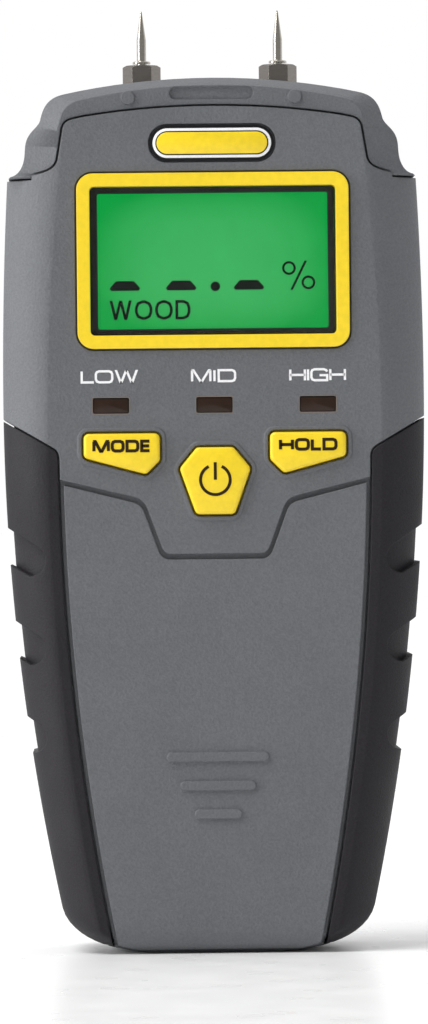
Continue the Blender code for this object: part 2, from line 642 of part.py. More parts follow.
def battery(jacket, black, red):
    low = Vector(BATTERY_LOW)
    high = low + Vector(BATTERY_SIZE)
    middle_y = (low.y + high.y) / 2
    cell = box("battery", (low.x, high.x), (low.y, high.y), (low.z, high.z), jacket, 0.0012)
    for side, radius, sides in ((-1, 0.0029, 16), (1, 0.0037, 6)):
        post = rod(f"post_{side}", radius, (side * POST_X, middle_y, high.z - 0.001),
                   (side * POST_X, middle_y, high.z + 0.0026), sides=sides)
        combine(cell, post, "UNION")
    snap = box("battery_snap", (-0.0125, 0.0125), (middle_y - 0.0060, middle_y + 0.0060),
               (high.z + GAP, high.z + SNAP_TOP), black, 0.0008)
    for side in (-1, 1):
        cup = rod(f"snap_cup_{side}", 0.0041, (side * POST_X, middle_y, high.z - 0.001),
                  (side * POST_X, middle_y, high.z + 0.0030), sides=20)
        combine(snap, cup, "DIFFERENCE")
    top = high.z + SNAP_TOP + GAP
    for name, side, colour in (("red_lead", -1, red), ("black_lead", 1, black)):
        x = side * 0.0030
        run = smooth_run([(x, middle_y, top), (x, middle_y, 0.0680), (x, 0.0030, 0.0700),
                          (x, 0.0030, 0.0780), (x, BOARD_Y[1] + GAP, 0.0780)], 14)
        tube(name, 0.0006, run, colour)


def pins(steel, brass, sheath):
    for side, name in ((-1, "left"), (1, "right")):
        x = side * PIN_X
        profile = [(0, PIN_TIP_Z), (0.00012, PIN_TIP_Z - 0.0002), (PIN_RADIUS, PIN_CONE_Z),
                   (PIN_RADIUS, NUT_TOP_Z + FLANGE_RISE), (FLANGE_RADIUS, NUT_TOP_Z + FLANGE_RISE),
                   (FLANGE_RADIUS, NUT_TOP_Z + GAP), (PIN_RADIUS, NUT_TOP_Z + GAP),
                   (PIN_RADIUS, PIN_BOTTOM_Z), (0, PIN_BOTTOM_Z)]
        turned(f"{name}_pin", profile, (x, 0), steel)
        nut = rod(f"{name}_pin_nut", NUT_CORNER_RADIUS, (x, 0, NUT_BOTTOM_Z), (x, 0, NUT_TOP_Z),
                  steel, sides=6)
        combine(nut, rod(f"{name}_nut_bore", PIN_RADIUS + GAP, (x, 0, 0.14), (x, 0, 0.15)), "DIFFERENCE")
        socket = rod(f"{name}_pin_socket", SOCKET_RADIUS, (x, 0, 0.1350), (x, 0, NUT_BOTTOM_Z - GAP),
                     brass, sides=20)
        combine(socket, rod(f"{name}_socket_bore", PIN_RADIUS + GAP, (x, 0, 0.139), (x, 0, 0.15)),
                "DIFFERENCE")
        run = smooth_run([(x, 0, 0.1347), (x, 0, 0.131), (x, -0.0042, 0.133), (x, -0.0037, 0.128),
                          (x, -0.0037, BOARD_Z[1] + GAP)], 12)
        tube(f"{name}_pin_lead", 0.0005, run, sheath)


def screws(steel):
    for index, (x, z) in enumerate(CASE_SCREWS):
        made = rod(f"case_screw_{index + 1}", SCREW_HEAD_RADIUS, (x, SCREW_HEAD_Y[0], z),
                   (x, SCREW_HEAD_Y[1], z), steel)
        combine(made, rod(f"case_shank_{index}", 0.0011, (x, -0.0080, z), (x, 0.0060, z)), "UNION")
        slot = box(f"case_slot_{index}", (x - 0.0015, x + 0.0015), (0.0063, 0.0075), (z - 0.0003, z + 0.0003))
        combine(made, slot, "DIFFERENCE")
    for index, (x, z) in enumerate(BOARD_SCREWS):
        made = rod(f"board_screw_{index + 1}", 0.0019, (x, BOARD_Y[1] + GAP, z), (x, -0.0012, z), steel)
        combine(made, rod(f"board_shank_{index}", 0.0009, (x, -0.0090, z), (x, -0.0020, z)), "UNION")


def main():
    global meter
    clear_scene()
    meter = bpy.data.objects.new("moisture_meter", None)
    bpy.context.scene.collection.objects.link(meter)
    grey = material("moulded_grey_abs", (0.135, 0.141, 0.152), 0.5)
    rubber = material("black_rubber", (0.022, 0.020, 0.021), 0.75)
    yellow = material("yellow_plastic", (0.97, 0.74, 0.03), 0.35)
    steel = material("nickel_plated_steel", (0.62, 0.60, 0.57), 0.25, 1.0)
    brass = material("brass", (0.78, 0.57, 0.25), 0.3, 1.0)
    dark = material("black_plastic", (0.02, 0.02, 0.02), 0.45)
    glass = material("lit_green_panel", (0.03, 0.40, 0.12), 0.2)
    white = material("white_plastic", (0.8, 0.8, 0.8), 0.5)
    clear = material("clear_plastic", (0.8, 0.85, 0.85), 0.05)
    smoked = material("smoked_plastic", (0.045, 0.022, 0.014), 0.15)
    foam = material("grey_foam", (0.1, 0.1, 0.1), 0.9)
    board_green = material("board_green", (0.02, 0.16, 0.06), 0.4)
    red = material("red_sheath", (0.5, 0.02, 0.02), 0.5)
    jacket = material("battery_jacket", (0.25, 0.26, 0.28), 0.35, 0.6)
    front_shell(grey)
    rear_shell(grey)
    pin_head(grey)
    grips(rubber)
    battery_door(grey, foam)
    display(yellow, clear, dark, glass, white, rubber)
    lamps(smoked, white)
    button("mode", side_button_outline(-1), (-0.0154, 0.0838), yellow, dark)
    button("power", power_outline(), (0, 0.0783), yellow, dark)
    button("hold", side_button_outline(1), (0.0154, 0.0838), yellow, dark)
    board(board_green, dark)
    battery(jacket, dark, red)
    pins(steel, brass, red)
    screws(steel)
    badge = rounded_rectangle(BADGE_SIZE, (0, BADGE_Z), 0.00289, 6)
    prism("badge_plate", badge, -0.0142, -0.0133, yellow)
    label = rounded_rectangle(LABEL_SIZE, (0, LABEL_Z), LABEL_RADIUS)
    prism("rear_label", label, 0.0147, REAR_Y, dark)


main()
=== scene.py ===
"""Looks of a pin-type moisture meter: its moulded casing, rubber grips, lit display, keys and pins."""

import math

import bmesh
import bpy
from mathutils import Matrix, Vector


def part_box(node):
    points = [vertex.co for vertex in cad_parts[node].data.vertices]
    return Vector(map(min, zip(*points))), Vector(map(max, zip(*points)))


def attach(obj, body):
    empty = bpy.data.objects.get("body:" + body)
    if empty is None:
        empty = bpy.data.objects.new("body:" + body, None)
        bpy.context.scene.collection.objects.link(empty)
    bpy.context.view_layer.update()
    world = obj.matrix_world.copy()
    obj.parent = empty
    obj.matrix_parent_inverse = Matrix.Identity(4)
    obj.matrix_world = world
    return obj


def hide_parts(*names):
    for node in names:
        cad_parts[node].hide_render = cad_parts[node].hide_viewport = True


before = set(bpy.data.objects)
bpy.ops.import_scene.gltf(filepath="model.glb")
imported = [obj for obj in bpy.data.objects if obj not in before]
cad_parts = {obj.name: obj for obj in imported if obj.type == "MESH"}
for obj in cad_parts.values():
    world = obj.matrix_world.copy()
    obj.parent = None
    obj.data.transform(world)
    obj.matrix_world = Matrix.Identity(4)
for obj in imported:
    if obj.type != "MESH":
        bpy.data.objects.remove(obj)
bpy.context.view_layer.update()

bl_info = {
    "name": "Moisture meter looks",
    "version": (1, 0, 0),
    "blender": (4, 5, 0),
    "location": "3D View > Sidebar > Meter",
    "description": "Builds the visible pieces and materials of a moisture meter on its packed frame",
    "category": "Object",
}

# Sizes in metres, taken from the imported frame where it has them.
SHELL_LOW, SHELL_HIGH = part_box("front_shell")
REAR_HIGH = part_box("rear_shell")[1]
DOOR_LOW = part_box("battery_door")[0]
HEAD_LOW, HEAD_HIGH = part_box("pin_head")
BEZEL_LOW, BEZEL_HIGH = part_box("display_bezel")
BADGE_LOW, BADGE_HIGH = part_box("badge_plate")
GRIP_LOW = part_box("right_grip")[0]
PIN_LOW, PIN_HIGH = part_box("right_pin")
NUT_LOW, NUT_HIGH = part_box("right_pin_nut")

HALF_WIDTH = SHELL_HIGH[0]
FRONT_Y = SHELL_LOW[1]
REAR_Y = REAR_HIGH[1]
SHOULDER_Z = REAR_HIGH[2]
WIDEST_Z = 0.092
TAPER_BELOW = 1.26
TAPER_ABOVE = 0.77
CORNER_Z = 0.0075
CORNER_X = 0.012
BASE_ROUND = 0.004
SIDE_BEVEL_DEPTH = 0.0065
REAR_BEVEL = 0.0055
RIDGE_X = 0.0275
WALL = 0.002
GAP = 0.0003
GRIP_THICKNESS = 0.0014
THROUGH = 0.02
DECK_REAR_Y = -0.0098
CONTROL_REAR_Y = -0.011
SEAT_Y = -0.013
CAVITY_INSET = 0.0043
GRIP_INNER_X = 0.026
GRIP_CURVE = 1.19
GRIP_CURVE_Z = 0.085
DOOR_RAIL = 0.0009
DISPLAY_Z = (BEZEL_LOW[2] + BEZEL_HIGH[2]) / 2
BADGE_Z = (BADGE_LOW[2] + BADGE_HIGH[2]) / 2
LAMP_X = 0.0171
LAMP_Z = 0.0907
LAMP_SIZE = (0.0060, 0.0026)
# Size of the painted highlight line round each lamp window, which stands for light caught on the rim of its
# opening.
LAMP_HIGHLIGHT_SIZE = (0.0062, 0.0028)
KEY_GAP = 0.00035
KEY_LIP = 0.0010
KEY_LIP_PROUD = 0.00022
KEY_INSET = 0.00006
KEY_FLANGE = 0.0009
KEY_FOOT_Y = -0.0115
DOOR_DROP = 0.0003
RIBS = ((0.0169, 0.0325), (0.0125, 0.02775), (0.0078, 0.02305))
RIB_HEIGHT = 0.00155
NOTCH_HEIGHTS = (0.0673, 0.0526, 0.0379)
NOTCH_DEPTH = 0.0009
LETTER_HEIGHT = 0.0022
LEGEND_HEIGHT = 0.0021
LEGEND_INK = 0.00005
SEGMENT_INK = 0.00006
SIDES = ((-1, "left"), (1, "right"))
HEAD_FACE_X = 0.0255
SHARP = math.radians(35)
PIN_X = (PIN_LOW[0] + PIN_HIGH[0]) / 2
LABEL_Z = 0.1


# Colours and materials

def linear(hex_colour):
    """An sRGB hex colour as linear red, green and blue."""
    parts = [int(hex_colour[index:index + 2], 16) / 255 for index in (1, 3, 5)]
    return tuple(part / 12.92 if part <= 0.04045 else ((part + 0.055) / 1.055) ** 2.4
                 for part in parts)


def add(material, kind, values=None, links=None, **settings):
    """Adds one node, with its settings, its sockets' values and the links into it."""
    tree = material.node_tree
    node = tree.nodes.new(kind)
    for name, value in settings.items():
        setattr(node, name, value)
    for socket, value in (values or {}).items():
        node.inputs[socket].default_value = value
    for socket, source in (links or {}).items():
        tree.links.new(source, node.inputs[socket])
    return node


def shader_of(name, values):
    """A new material and its Principled shader with constant values set on the shader's own sockets."""
    material = bpy.data.materials.new(name)
    material.use_nodes = True
    shader = material.node_tree.nodes["Principled BSDF"]
    for socket, value in values.items():
        shader.inputs[socket].default_value = value
    return material, shader


def spread(material, noise, low, high):
    """Stretches the middle of a noise over the values from low to high."""
    ranged = add(material, "ShaderNodeMapRange",
                 {"From Min": 0.3, "From Max": 0.7, "To Min": low, "To Max": high},
                 {"Value": noise.outputs["Fac"]})
    return ranged.outputs["Result"]


def moulded(name, colour, roughness, grain, relief, mottle=0.05, stretch=(1, 1, 1), edge=0.0, **values):
    """A surface with fine relief, a slow drift of shade and gloss that wanders a little.

    grain is the size of the relief's grains, relief its depth and edge the radius that a mould
    leaves along its edges, all in metres.
    """
    material, shader = shader_of(name, {socket.replace("_", " "): values[socket] for socket in values})
    place = add(material, "ShaderNodeTexCoord")
    fitted = add(material, "ShaderNodeMapping", {"Scale": stretch}, {"Vector": place.outputs["Object"]})
    fine = add(material, "ShaderNodeTexNoise", {"Scale": 1 / grain, "Detail": 3, "Roughness": 0.6},
               {"Vector": fitted.outputs["Vector"]})
    broad = add(material, "ShaderNodeTexNoise", {"Scale": 90, "Detail": 2},
                {"Vector": place.outputs["Object"]})
    shade = spread(material, broad, 1 - 0.6 * mottle, 1 + 0.6 * mottle)
    speckle = spread(material, fine, 1 - 2.4 * mottle, 1 + 2.4 * mottle)
    both = add(material, "ShaderNodeMath", None, {0: shade, 1: speckle}, operation="MULTIPLY")
    tinted = add(material, "ShaderNodeVectorMath", {0: colour}, {"Scale": both.outputs["Value"]},
                 operation="SCALE")
    bump = add(material, "ShaderNodeBump", {"Strength": 1.0, "Distance": relief},
               {"Height": fine.outputs["Fac"]})
    links = material.node_tree.links
    if edge:
        rounded = add(material, "ShaderNodeBevel", {"Radius": edge}, samples=6)
        links.new(rounded.outputs["Normal"], bump.inputs["Normal"])
    links.new(tinted.outputs["Vector"], shader.inputs["Base Color"])
    links.new(spread(material, broad, 0.88 * roughness, 1.12 * roughness), shader.inputs["Roughness"])
    links.new(bump.outputs["Normal"], shader.inputs["Normal"])


def spark_eroded_abs(colours, edge):
    """Grey ABS from a spark-eroded mould: a satin skin with a fine even grain.

    The real grain is about 0.15 mm; it is drawn at 0.36 mm so that it shows.
    """
    moulded("spark_eroded_abs", colours.casing, 0.52, 0.00036, 0.00012, 0.06, edge=edge, IOR=1.53)


def moulded_rubber(colours, edge):
    """Thermoplastic rubber over the sides: near black, dull, with a sandy touch that catches light."""
    moulded("moulded_rubber", colours.grip, 0.55, 0.0003, 0.00007, 0.12, edge=edge, IOR=1.50,
            Specular_IOR_Level=0.25)


def polished_yellow_abs(colours, edge):
    """Yellow ABS from a polished mould: smooth and semi-gloss, with a faint orange peel."""
    moulded("polished_yellow_abs", colours.yellow, 0.34, 0.0012, 0.000004, 0.02, edge=edge, IOR=1.53,
            Coat_Weight=0.15, Coat_Roughness=0.25)


def screen_inks(colours):
    """Screen-printed ink: a thin matt film, a little uneven, on the casing, keys, badge and display. The
    pale tan one is a painted highlight: a line round each lamp window that stands for light caught on the
    rim of its opening.
    """
    for name, colour in (("white_screen_ink", colours.label), ("black_screen_ink", linear("#101014")),
                         ("key_ink", colours.legend), ("lcd_segments", colours.segment),
                         ("printed_label_film", linear("#2b2c30")),
                         ("painted_highlight_ink", linear("#7d726a"))):
        moulded(name, colour, 0.55, 0.0002, 0.000003, 0.03, IOR=1.5, Specular_IOR_Level=0.2)


def smoked_acrylic(colours):
    """Smoked acrylic in front of each lamp: dark brown and glossy."""
    moulded("smoked_acrylic", colours.smoked, 0.2, 0.002, 0.000001, 0.05, IOR=1.49,
            Specular_IOR_Level=0.25)


def lit_lcd_glass(colours):
    """Liquid-crystal glass lit from behind: green, deeper at its rim and paler in the middle."""
    material, shader = shader_of("lit_lcd_glass", {"Roughness": 0.3, "IOR": 1.52,
                                                   "Base Color": (*linear("#04120a"), 1),
                                                   "Specular IOR Level": 0.1,
                                                   "Emission Strength": colours.glow_strength})
    low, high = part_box("display_gasket")
    reach = Vector((high[0], 1, (high[2] - low[2]) / 2))
    place = add(material, "ShaderNodeTexCoord")
    centred = add(material, "ShaderNodeMapping", {"Location": (0, 0, -DISPLAY_Z / reach.z),
                                                  "Scale": (1 / reach.x, 0, 1 / reach.z)},
                  {"Vector": place.outputs["Object"]})
    parts = add(material, "ShaderNodeSeparateXYZ", None, {"Vector": centred.outputs["Vector"]})
    cubes = []
    for axis in "XZ":
        size = add(material, "ShaderNodeMath", None, {0: parts.outputs[axis]}, operation="ABSOLUTE")
        cubes.append(add(material, "ShaderNodeMath", {1: 3.0}, {0: size.outputs["Value"]},
                         operation="POWER"))
    rim = add(material, "ShaderNodeMath", None, {0: cubes[0].outputs["Value"], 1: cubes[1].outputs["Value"]},
              operation="ADD")
    glow = add(material, "ShaderNodeMix", {6: (*colours.glow_middle, 1), 7: (*colours.glow_rim, 1)},
               {0: rim.outputs["Value"]}, data_type="RGBA", clamp_factor=True)
    material.node_tree.links.new(glow.outputs[2], shader.inputs["Emission Color"])


def clear_acrylic():
    """Clear acrylic over the display: its coating cuts reflections, so its index is set low."""
    moulded("clear_acrylic", linear("#f6faf8"), 0.03, 0.004, 0.0000005, 0.01, IOR=1.18,
            Specular_IOR_Level=0.1, Transmission_Weight=1.0)


def turned_metals():
    """Nickel-plated steel and brass turned on a lathe: bright, with fine rings round the axis. The darkened
    nickel is the same plating with a darker colour, painted shade for the dark reflections on the nuts' flat
    faces.
    """
    for name, colour, roughness in (("turned_nickel", "#b9b4ab", 0.20), ("darkened_nickel", "#7d7873", 0.24),
                                    ("turned_brass", "#c9a24f", 0.28)):
        moulded(name, linear(colour), roughness, 0.0002, 0.000004, 0.04, stretch=(0.1, 0.1, 1.0),
                edge=0.0001, Metallic=1.0)


def inner_finishes():
    """Finishes of the pieces inside: plastics, rubber, solder mask, lacquered tin and foam."""
    for name, colour, roughness, grain, relief, mottle in (
            ("black_abs", "#15151a", 0.45, 0.0004, 0.000010, 0.08),
            ("white_nylon", "#e9e6dd", 0.40, 0.0006, 0.000006, 0.04),
            ("silicone_strip", "#d9b9c4", 0.50, 0.0002, 0.000010, 0.05),
            ("solder_mask", "#123f22", 0.30, 0.0008, 0.000012, 0.12),
            ("lacquered_tin", "#33353c", 0.35, 0.0010, 0.000006, 0.05),
            ("open_cell_foam", "#2c2c30", 0.90, 0.0006, 0.000120, 0.25),
            ("red_pvc", "#a81c16", 0.42, 0.0010, 0.000006, 0.05),
            ("black_pvc", "#1a1a1c", 0.42, 0.0010, 0.000006, 0.05)):
        moulded(name, linear(colour), roughness, grain, relief, mottle, IOR=1.5)


# Making meshes

def loop_of(mesh, points):
    """A closed ring of edges through the points."""
    corners = [mesh.verts.new(point) for point in points]
    return [mesh.edges.new(pair) for pair in zip(corners, corners[1:] + corners[:1])]


def outwards(mesh):
    """Turns the faces of a closed mesh outwards."""
    bmesh.ops.recalc_face_normals(mesh, faces=mesh.faces)
    return mesh


def skin(rings):
    """A closed solid over rings of points, bridged one after another and capped at both ends."""
    mesh = bmesh.new()
    loops = [loop_of(mesh, ring) for ring in rings]
    for low, high in zip(loops, loops[1:]):
        bmesh.ops.bridge_loops(mesh, edges=low + high)
    bmesh.ops.contextual_create(mesh, geom=loops[0])
    bmesh.ops.contextual_create(mesh, geom=loops[-1])
    return outwards(mesh)


def thicken(mesh, flat, depth):
    """Makes flat faces into a solid that reaches by depth along Y."""
    raised = bmesh.ops.extrude_face_region(mesh, geom=flat, use_keep_orig=True)["geom"]
    moved = [part for part in raised if isinstance(part, bmesh.types.BMVert)]
    bmesh.ops.translate(mesh, verts=moved, vec=(0, depth, 0))


def plate(outline, y_front, y_rear, soft=0.0, steps=2):
    """A flat piece from an (x, z) outline, with its front rim rounded over by soft."""
    mesh = bmesh.new()
    rim = loop_of(mesh, [(x, y_front, z) for x, z in outline])
    face = bmesh.ops.contextual_create(mesh, geom=rim)["faces"][0]
    thicken(mesh, [face], y_rear - y_front)
    bmesh.ops.recalc_face_normals(mesh, faces=mesh.faces)
    if soft:
        bmesh.ops.bevel(mesh, geom=rim, offset=soft, offset_type="OFFSET", affect="EDGES",
                        segments=steps, profile=0.5, material=-1, clamp_overlap=True)
    return mesh


def panel(size, centre, radius, y_front, y_rear, soft=0.0, corner_steps=8):
    """A flat rectangular piece with round corners, its front rim rounded over by soft."""
    return plate(rounded_rectangle(size, centre, radius, corner_steps), y_front, y_rear, soft)


def turned(profile, centre, sides):
    """Turns (radius, z) points, listed from the top down, about an upright axis at (x, y)."""
    mesh = bmesh.new()
    points = [mesh.verts.new((radius, 0, z)) for radius, z in profile]
    edges = [mesh.edges.new(pair) for pair in zip(points, points[1:])]
    bmesh.ops.spin(mesh, geom=points + edges, cent=(0, 0, 0), axis=(0, 0, 1), angle=math.tau,
                   steps=sides, use_merge=True)
    bmesh.ops.remove_doubles(mesh, verts=mesh.verts, dist=1e-6)
    bmesh.ops.recalc_face_normals(mesh, faces=mesh.faces)
    bmesh.ops.translate(mesh, verts=mesh.verts, vec=(*centre, 0))
    return mesh


def block(x, y, z, soft=0.0):
    """A box between two values on each axis, its edges rounded by soft."""
    mesh = bmesh.new()
    bmesh.ops.create_cube(mesh, size=1)
    bmesh.ops.scale(mesh, verts=mesh.verts, vec=[high - low for low, high in (x, y, z)])
    bmesh.ops.translate(mesh, verts=mesh.verts, vec=[(high + low) / 2 for low, high in (x, y, z)])
    if soft:
        bmesh.ops.bevel(mesh, geom=list(mesh.edges), offset=soft, offset_type="OFFSET", affect="EDGES",
                        segments=2, profile=0.5, material=-1)
    return mesh


def bar(radius, start, end, end_radius=None):
    """A round bar between two points, tapered when end_radius is given."""
    mesh = bmesh.new()
    run = Vector(end) - Vector(start)
    place = Matrix.Translation((Vector(start) + Vector(end)) / 2)
    place @= run.to_track_quat("Z", "Y").to_matrix().to_4x4()
    bmesh.ops.create_cone(mesh, cap_ends=True, segments=32, radius1=radius,
                          radius2=radius if end_radius is None else end_radius, depth=run.length,
                          matrix=place)
    return mesh


def shown(name, data):
    """A new object in the scene that holds a mesh, a light or a camera."""
    obj = bpy.data.objects.new(name, data)
    bpy.context.scene.collection.objects.link(obj)
    return obj


def object_of(name, mesh):
    """An object at the origin from a bmesh."""
    data = bpy.data.meshes.new(name)
    mesh.to_mesh(data)
    mesh.free()
    return shown(name, data)


def bake_modifiers(obj):
    """Replaces the object's mesh with what its modifiers make of it."""
    graph = bpy.context.evaluated_depsgraph_get()
    data = bpy.data.meshes.new_from_object(obj.evaluated_get(graph), depsgraph=graph)
    old = obj.data
    obj.modifiers.clear()
    obj.data = data
    bpy.data.meshes.remove(old)


def taken(obj):
    """Removes an object and gives back its shape."""
    mesh = bmesh.new()
    mesh.from_mesh(obj.data)
    data = obj.data
    bpy.data.objects.remove(obj)
    bpy.data.meshes.remove(data)
    return mesh


def join(obj, other_mesh, operation="DIFFERENCE"):
    """Cuts a shape out of an object, or joins it on, and removes the cutting shape."""
    other = object_of("cutter", other_mesh)
    change = obj.modifiers.new("shape", "BOOLEAN")
    change.object = other
    change.operation = operation
    change.solver = "EXACT"
    bake_modifiers(obj)
    data = other.data
    bpy.data.objects.remove(other)
    bpy.data.meshes.remove(data)
    return obj


def merged(first, second):
    """One bmesh that holds two shapes that stand apart."""
    held = bpy.data.meshes.new("held")
    second.to_mesh(held)
    second.free()
    first.from_mesh(held)
    bpy.data.meshes.remove(held)
    return first


def present_even(obj, *details, **body):
    """Presents a piece with its sharp edges kept and its flat faces evenly shaded between curved ones."""
    mesh = bmesh.new()
    mesh.from_mesh(obj.data)
    bmesh.ops.remove_doubles(mesh, verts=mesh.verts, dist=2e-6)
    mesh.to_mesh(obj.data)
    mesh.free()
    obj.data.shade_smooth()
    obj.data.set_sharp_from_angle(angle=SHARP)
    even = obj.modifiers.new("even_shading", "WEIGHTED_NORMAL")
    even.keep_sharp = True
    even.weight = 50
    bake_modifiers(obj)
    present(obj, *details, **body, smooth_angle=0)


def present(obj, material, slot, *nodes, body="casing", smooth_angle=30):
    """Gives a finished piece its material, its body and the frame nodes it stands for; the slot it is given
    is not used.
    """
    obj.data.materials.clear()
    obj.data.materials.append(bpy.data.materials[material])
    if smooth_angle:
        obj.data.shade_smooth()
        obj.data.set_sharp_from_angle(angle=math.radians(smooth_angle))
    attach(obj, body)
    if nodes:
        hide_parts(*nodes)
    return obj


# Outlines, as (x, z) points listed anticlockwise

def arc(centre, radius, start, end, steps):
    """Points on an arc, with angles in degrees from +X towards +Z."""
    points = []
    for step in range(steps + 1):
        angle = math.radians(start + (end - start) * step / steps)
        points.append((centre[0] + radius * math.cos(angle), centre[1] + radius * math.sin(angle)))
    return points


def curve_through(corners, steps):
    """Points along one smooth curve drawn in by its corners."""
    order = len(corners) - 1
    run = []
    for step in range(steps + 1):
        part = step / steps
        point = Vector([0] * len(corners[0]))
        for index, corner in enumerate(corners):
            weight = math.comb(order, index) * part ** index * (1 - part) ** (order - index)
            point += Vector(corner) * weight
        run.append(tuple(point))
    return run


def mirrored(outline):
    """Adds the left half to a right half that runs from the axis to the axis."""
    return list(outline) + [(-x, z) for x, z in reversed(outline) if x > 1e-6]


def on_side(outline, side):
    """The outline as it is on the right, or mirrored to the left."""
    return list(outline) if side > 0 else [(-x, z) for x, z in reversed(outline)]


def rounded_rectangle(size, centre, radius, steps=8):
    half_x = size[0] / 2 - radius
    half_z = size[1] / 2 - radius
    outline = []
    for x, z, start in ((1, 1, 0), (-1, 1, 90), (-1, -1, 180), (1, -1, 270)):
        outline += arc((centre[0] + x * half_x, centre[1] + z * half_z), radius, start, start + 90, steps)
    return outline


def rounded_polygon(corners, radius):
    """Rounds every corner of an anticlockwise outline."""
    outline = []
    for index, corner in enumerate(corners):
        here = Vector(corner)
        back = (Vector(corners[index - 1]) - here).normalized()
        forth = (Vector(corners[(index + 1) % len(corners)]) - here).normalized()
        half_angle = back.angle(forth) / 2
        middle = here + (back + forth).normalized() * radius / math.sin(half_angle)
        first = here + back * radius / math.tan(half_angle) - middle
        turn = (math.pi - 2 * half_angle) * (1 if back.cross(forth) < 0 else -1)
        for step in range(7):
            spot = middle + Matrix.Rotation(turn * step / 6, 2) @ first
            outline.append((spot.x, spot.y))
    return outline


def grown(outline, amount):
    """Moves every side of an outline outwards by amount, with mitred corners."""
    moved = []
    for index, point in enumerate(outline):
        spot = Vector(point)
        back = (spot - Vector(outline[index - 1])).normalized()
        forth = (Vector(outline[(index + 1) % len(outline)]) - spot).normalized()
        out = Vector((back.y + forth.y, -back.x - forth.x))
        spot += out * amount / max(0.3, 1 + back.dot(forth))
        moved.append((spot.x, spot.y))
    return moved


# The casing's shape, which the shells, grips and door share

def casing_half_width(z):
    away = z - WIDEST_Z
    half = HALF_WIDTH - (TAPER_BELOW if away < 0 else TAPER_ABOVE) * away ** 2
    if z < CORNER_Z:
        half -= CORNER_X * (1 - math.sqrt(1 - min(1, 1 - z / CORNER_Z) ** 2))
    return half


def base_setback(z):
    """How far the front and rear faces lean in near the base."""
    rise = min(1, max(0, 1 - z / BASE_ROUND))
    return BASE_ROUND * (1 - math.sqrt(1 - rise ** 2))


def grip_inner_x(z):
    """The grips' inner edges bow in towards the base, in line with the sides."""
    return GRIP_INNER_X - GRIP_CURVE * (GRIP_CURVE_Z - z) ** 2


def casing_ring(z, side_inset, face_inset, halves):
    """One level cut through the casing, anticlockwise seen from above."""
    half = casing_half_width(z) - side_inset
    front = FRONT_Y + base_setback(z) + face_inset
    rear = REAR_Y - base_setback(z) - face_inset
    ridge = min(RIDGE_X, grip_inner_x(z) + 0.0015, half - 0.004) - 0.4 * min(side_inset, face_inset)
    right = []
    for step in range(21):
        angle = math.pi / 2 * step / 20
        x = ridge + (half - ridge) * math.sin(angle) ** 1.4
        right.append((x, front + SIDE_BEVEL_DEPTH * (1 - max(0, math.cos(angle)) ** 1.4)))
    rear_round = []
    for step in range(11):
        angle = math.pi / 2 * step / 10
        rear_round.append((half - REAR_BEVEL * (1 - math.cos(angle)),
                           rear - REAR_BEVEL * (1 - math.sin(angle))))
    if halves == "front":
        right.append((half, -GAP / 2))
    elif halves == "rear":
        right = [(half, GAP / 2)] + rear_round
    else:
        right += rear_round
    return [(x, y, z) for x, y in right + [(-x, y) for x, y in reversed(right)]]


def casing_block(side_inset=0.0, face_inset=0.0, halves="all", low=0.0, high=0.142):
    """The casing's outer shape as one solid, or the same shape set in by a wall's thickness."""
    base = [0.0003, 0.0007, 0.0012, 0.0018, 0.0025, 0.0032, 0.004, 0.005, 0.0062, 0.0075]
    sides = [CORNER_Z + 0.0022 * step for step in range(1, 62)]
    levels = [low] + [z for z in base + sides if low + 0.0001 < z < high - 0.0005] + [high]
    return skin([casing_ring(z, side_inset, face_inset, halves) for z in levels])


def region(outline, depth, rear=THROUGH):
    """Everything inside an outline, down to a depth below the casing's surface."""
    obj = object_of("region", plate(outline, -THROUGH, rear))
    join(obj, casing_block(depth, depth, low=depth))
    return taken(obj)


def face_outline():
    """The front shell seen from the front, with the raised tongue that rises over the head."""
    outline = [(0, -0.01), (0.05, -0.01), (0.05, SHOULDER_Z), (0.0338, SHOULDER_Z)]
    outline += curve_through([(0.0334, 0.1286), (0.0275, 0.1290), (0.0256, 0.1297), (0.0254, 0.1320)], 12)
    outline += curve_through([(0.0247, 0.1362), (0.0246, 0.1378), (0.0229, 0.1381)], 6)
    top, corner = SHELL_HIGH[2], Vector((0.0245, 0.1379))
    radius = (corner.x ** 2 + (top - corner.y) ** 2) / (2 * (top - corner.y))
    for x in (0.021, 0.018, 0.015, 0.012, 0.009, 0.006, 0.003, 0):
        outline.append((x, top - x ** 2 / (2 * radius)))
    return mirrored(outline)


def grip_outline(side):
    """One grip seen from the front: a bowed inner edge and a top edge that climbs outwards."""
    low = GRIP_LOW[2]
    outline = [(grip_inner_x(low), low), (0.038, low), (0.038, 0.0901), (0.0272, 0.0838)]
    outline += curve_through([(0.0266, 0.0834), (0.0259, 0.0829), (grip_inner_x(0.0815), 0.0815)], 6)
    for step in range(1, 20):
        z = 0.0815 + (low - 0.0815) * step / 20
        outline.append((grip_inner_x(z), z))
    return on_side(outline, side)


def notch_outline(side, middle_z):
    """One finger notch: a slanted channel with a round inner end, open at the side."""
    slope = math.tan(math.radians(33))
    inner = Vector((0.0282, middle_z - 0.0058 * slope))
    outer_z = inner.y + (0.038 - inner.x) * slope
    outline = [(0.038, outer_z - 0.0031), (0.038, outer_z + 0.0031)]
    outline += arc((inner.x + 0.0026, inner.y + 0.0026 * slope), 0.0026, 120, 270, 12)
    return on_side(outline, side)


def door_outline(side_shift, bottom_z, drop=0.0):
    """The battery door seen from the front, its sides moved by side_shift and its top lowered by drop."""
    outline = [(0, bottom_z)]
    for step in range(21):
        z = bottom_z + (0.0779 - drop - bottom_z) * step / 20
        outline.append((grip_inner_x(z) + side_shift, z))
    top = curve_through([(0.0136, 0.07501), (0.0124, 0.0747), (0.0119, 0.0736)], 4)
    top += curve_through([(0.0096, 0.0673), (0.0091, 0.0657), (0.0078, 0.0655)], 4)
    outline += [(x, z - drop) for x, z in top]
    return mirrored(outline + [(0, 0.0655 - drop)])


def power_outline():
    right = [(0.0032, 0.0726), (0.0059, 0.0802), (0.00302, 0.0837)]
    return rounded_polygon(right + [(-x, z) for x, z in reversed(right)], 0.0009)


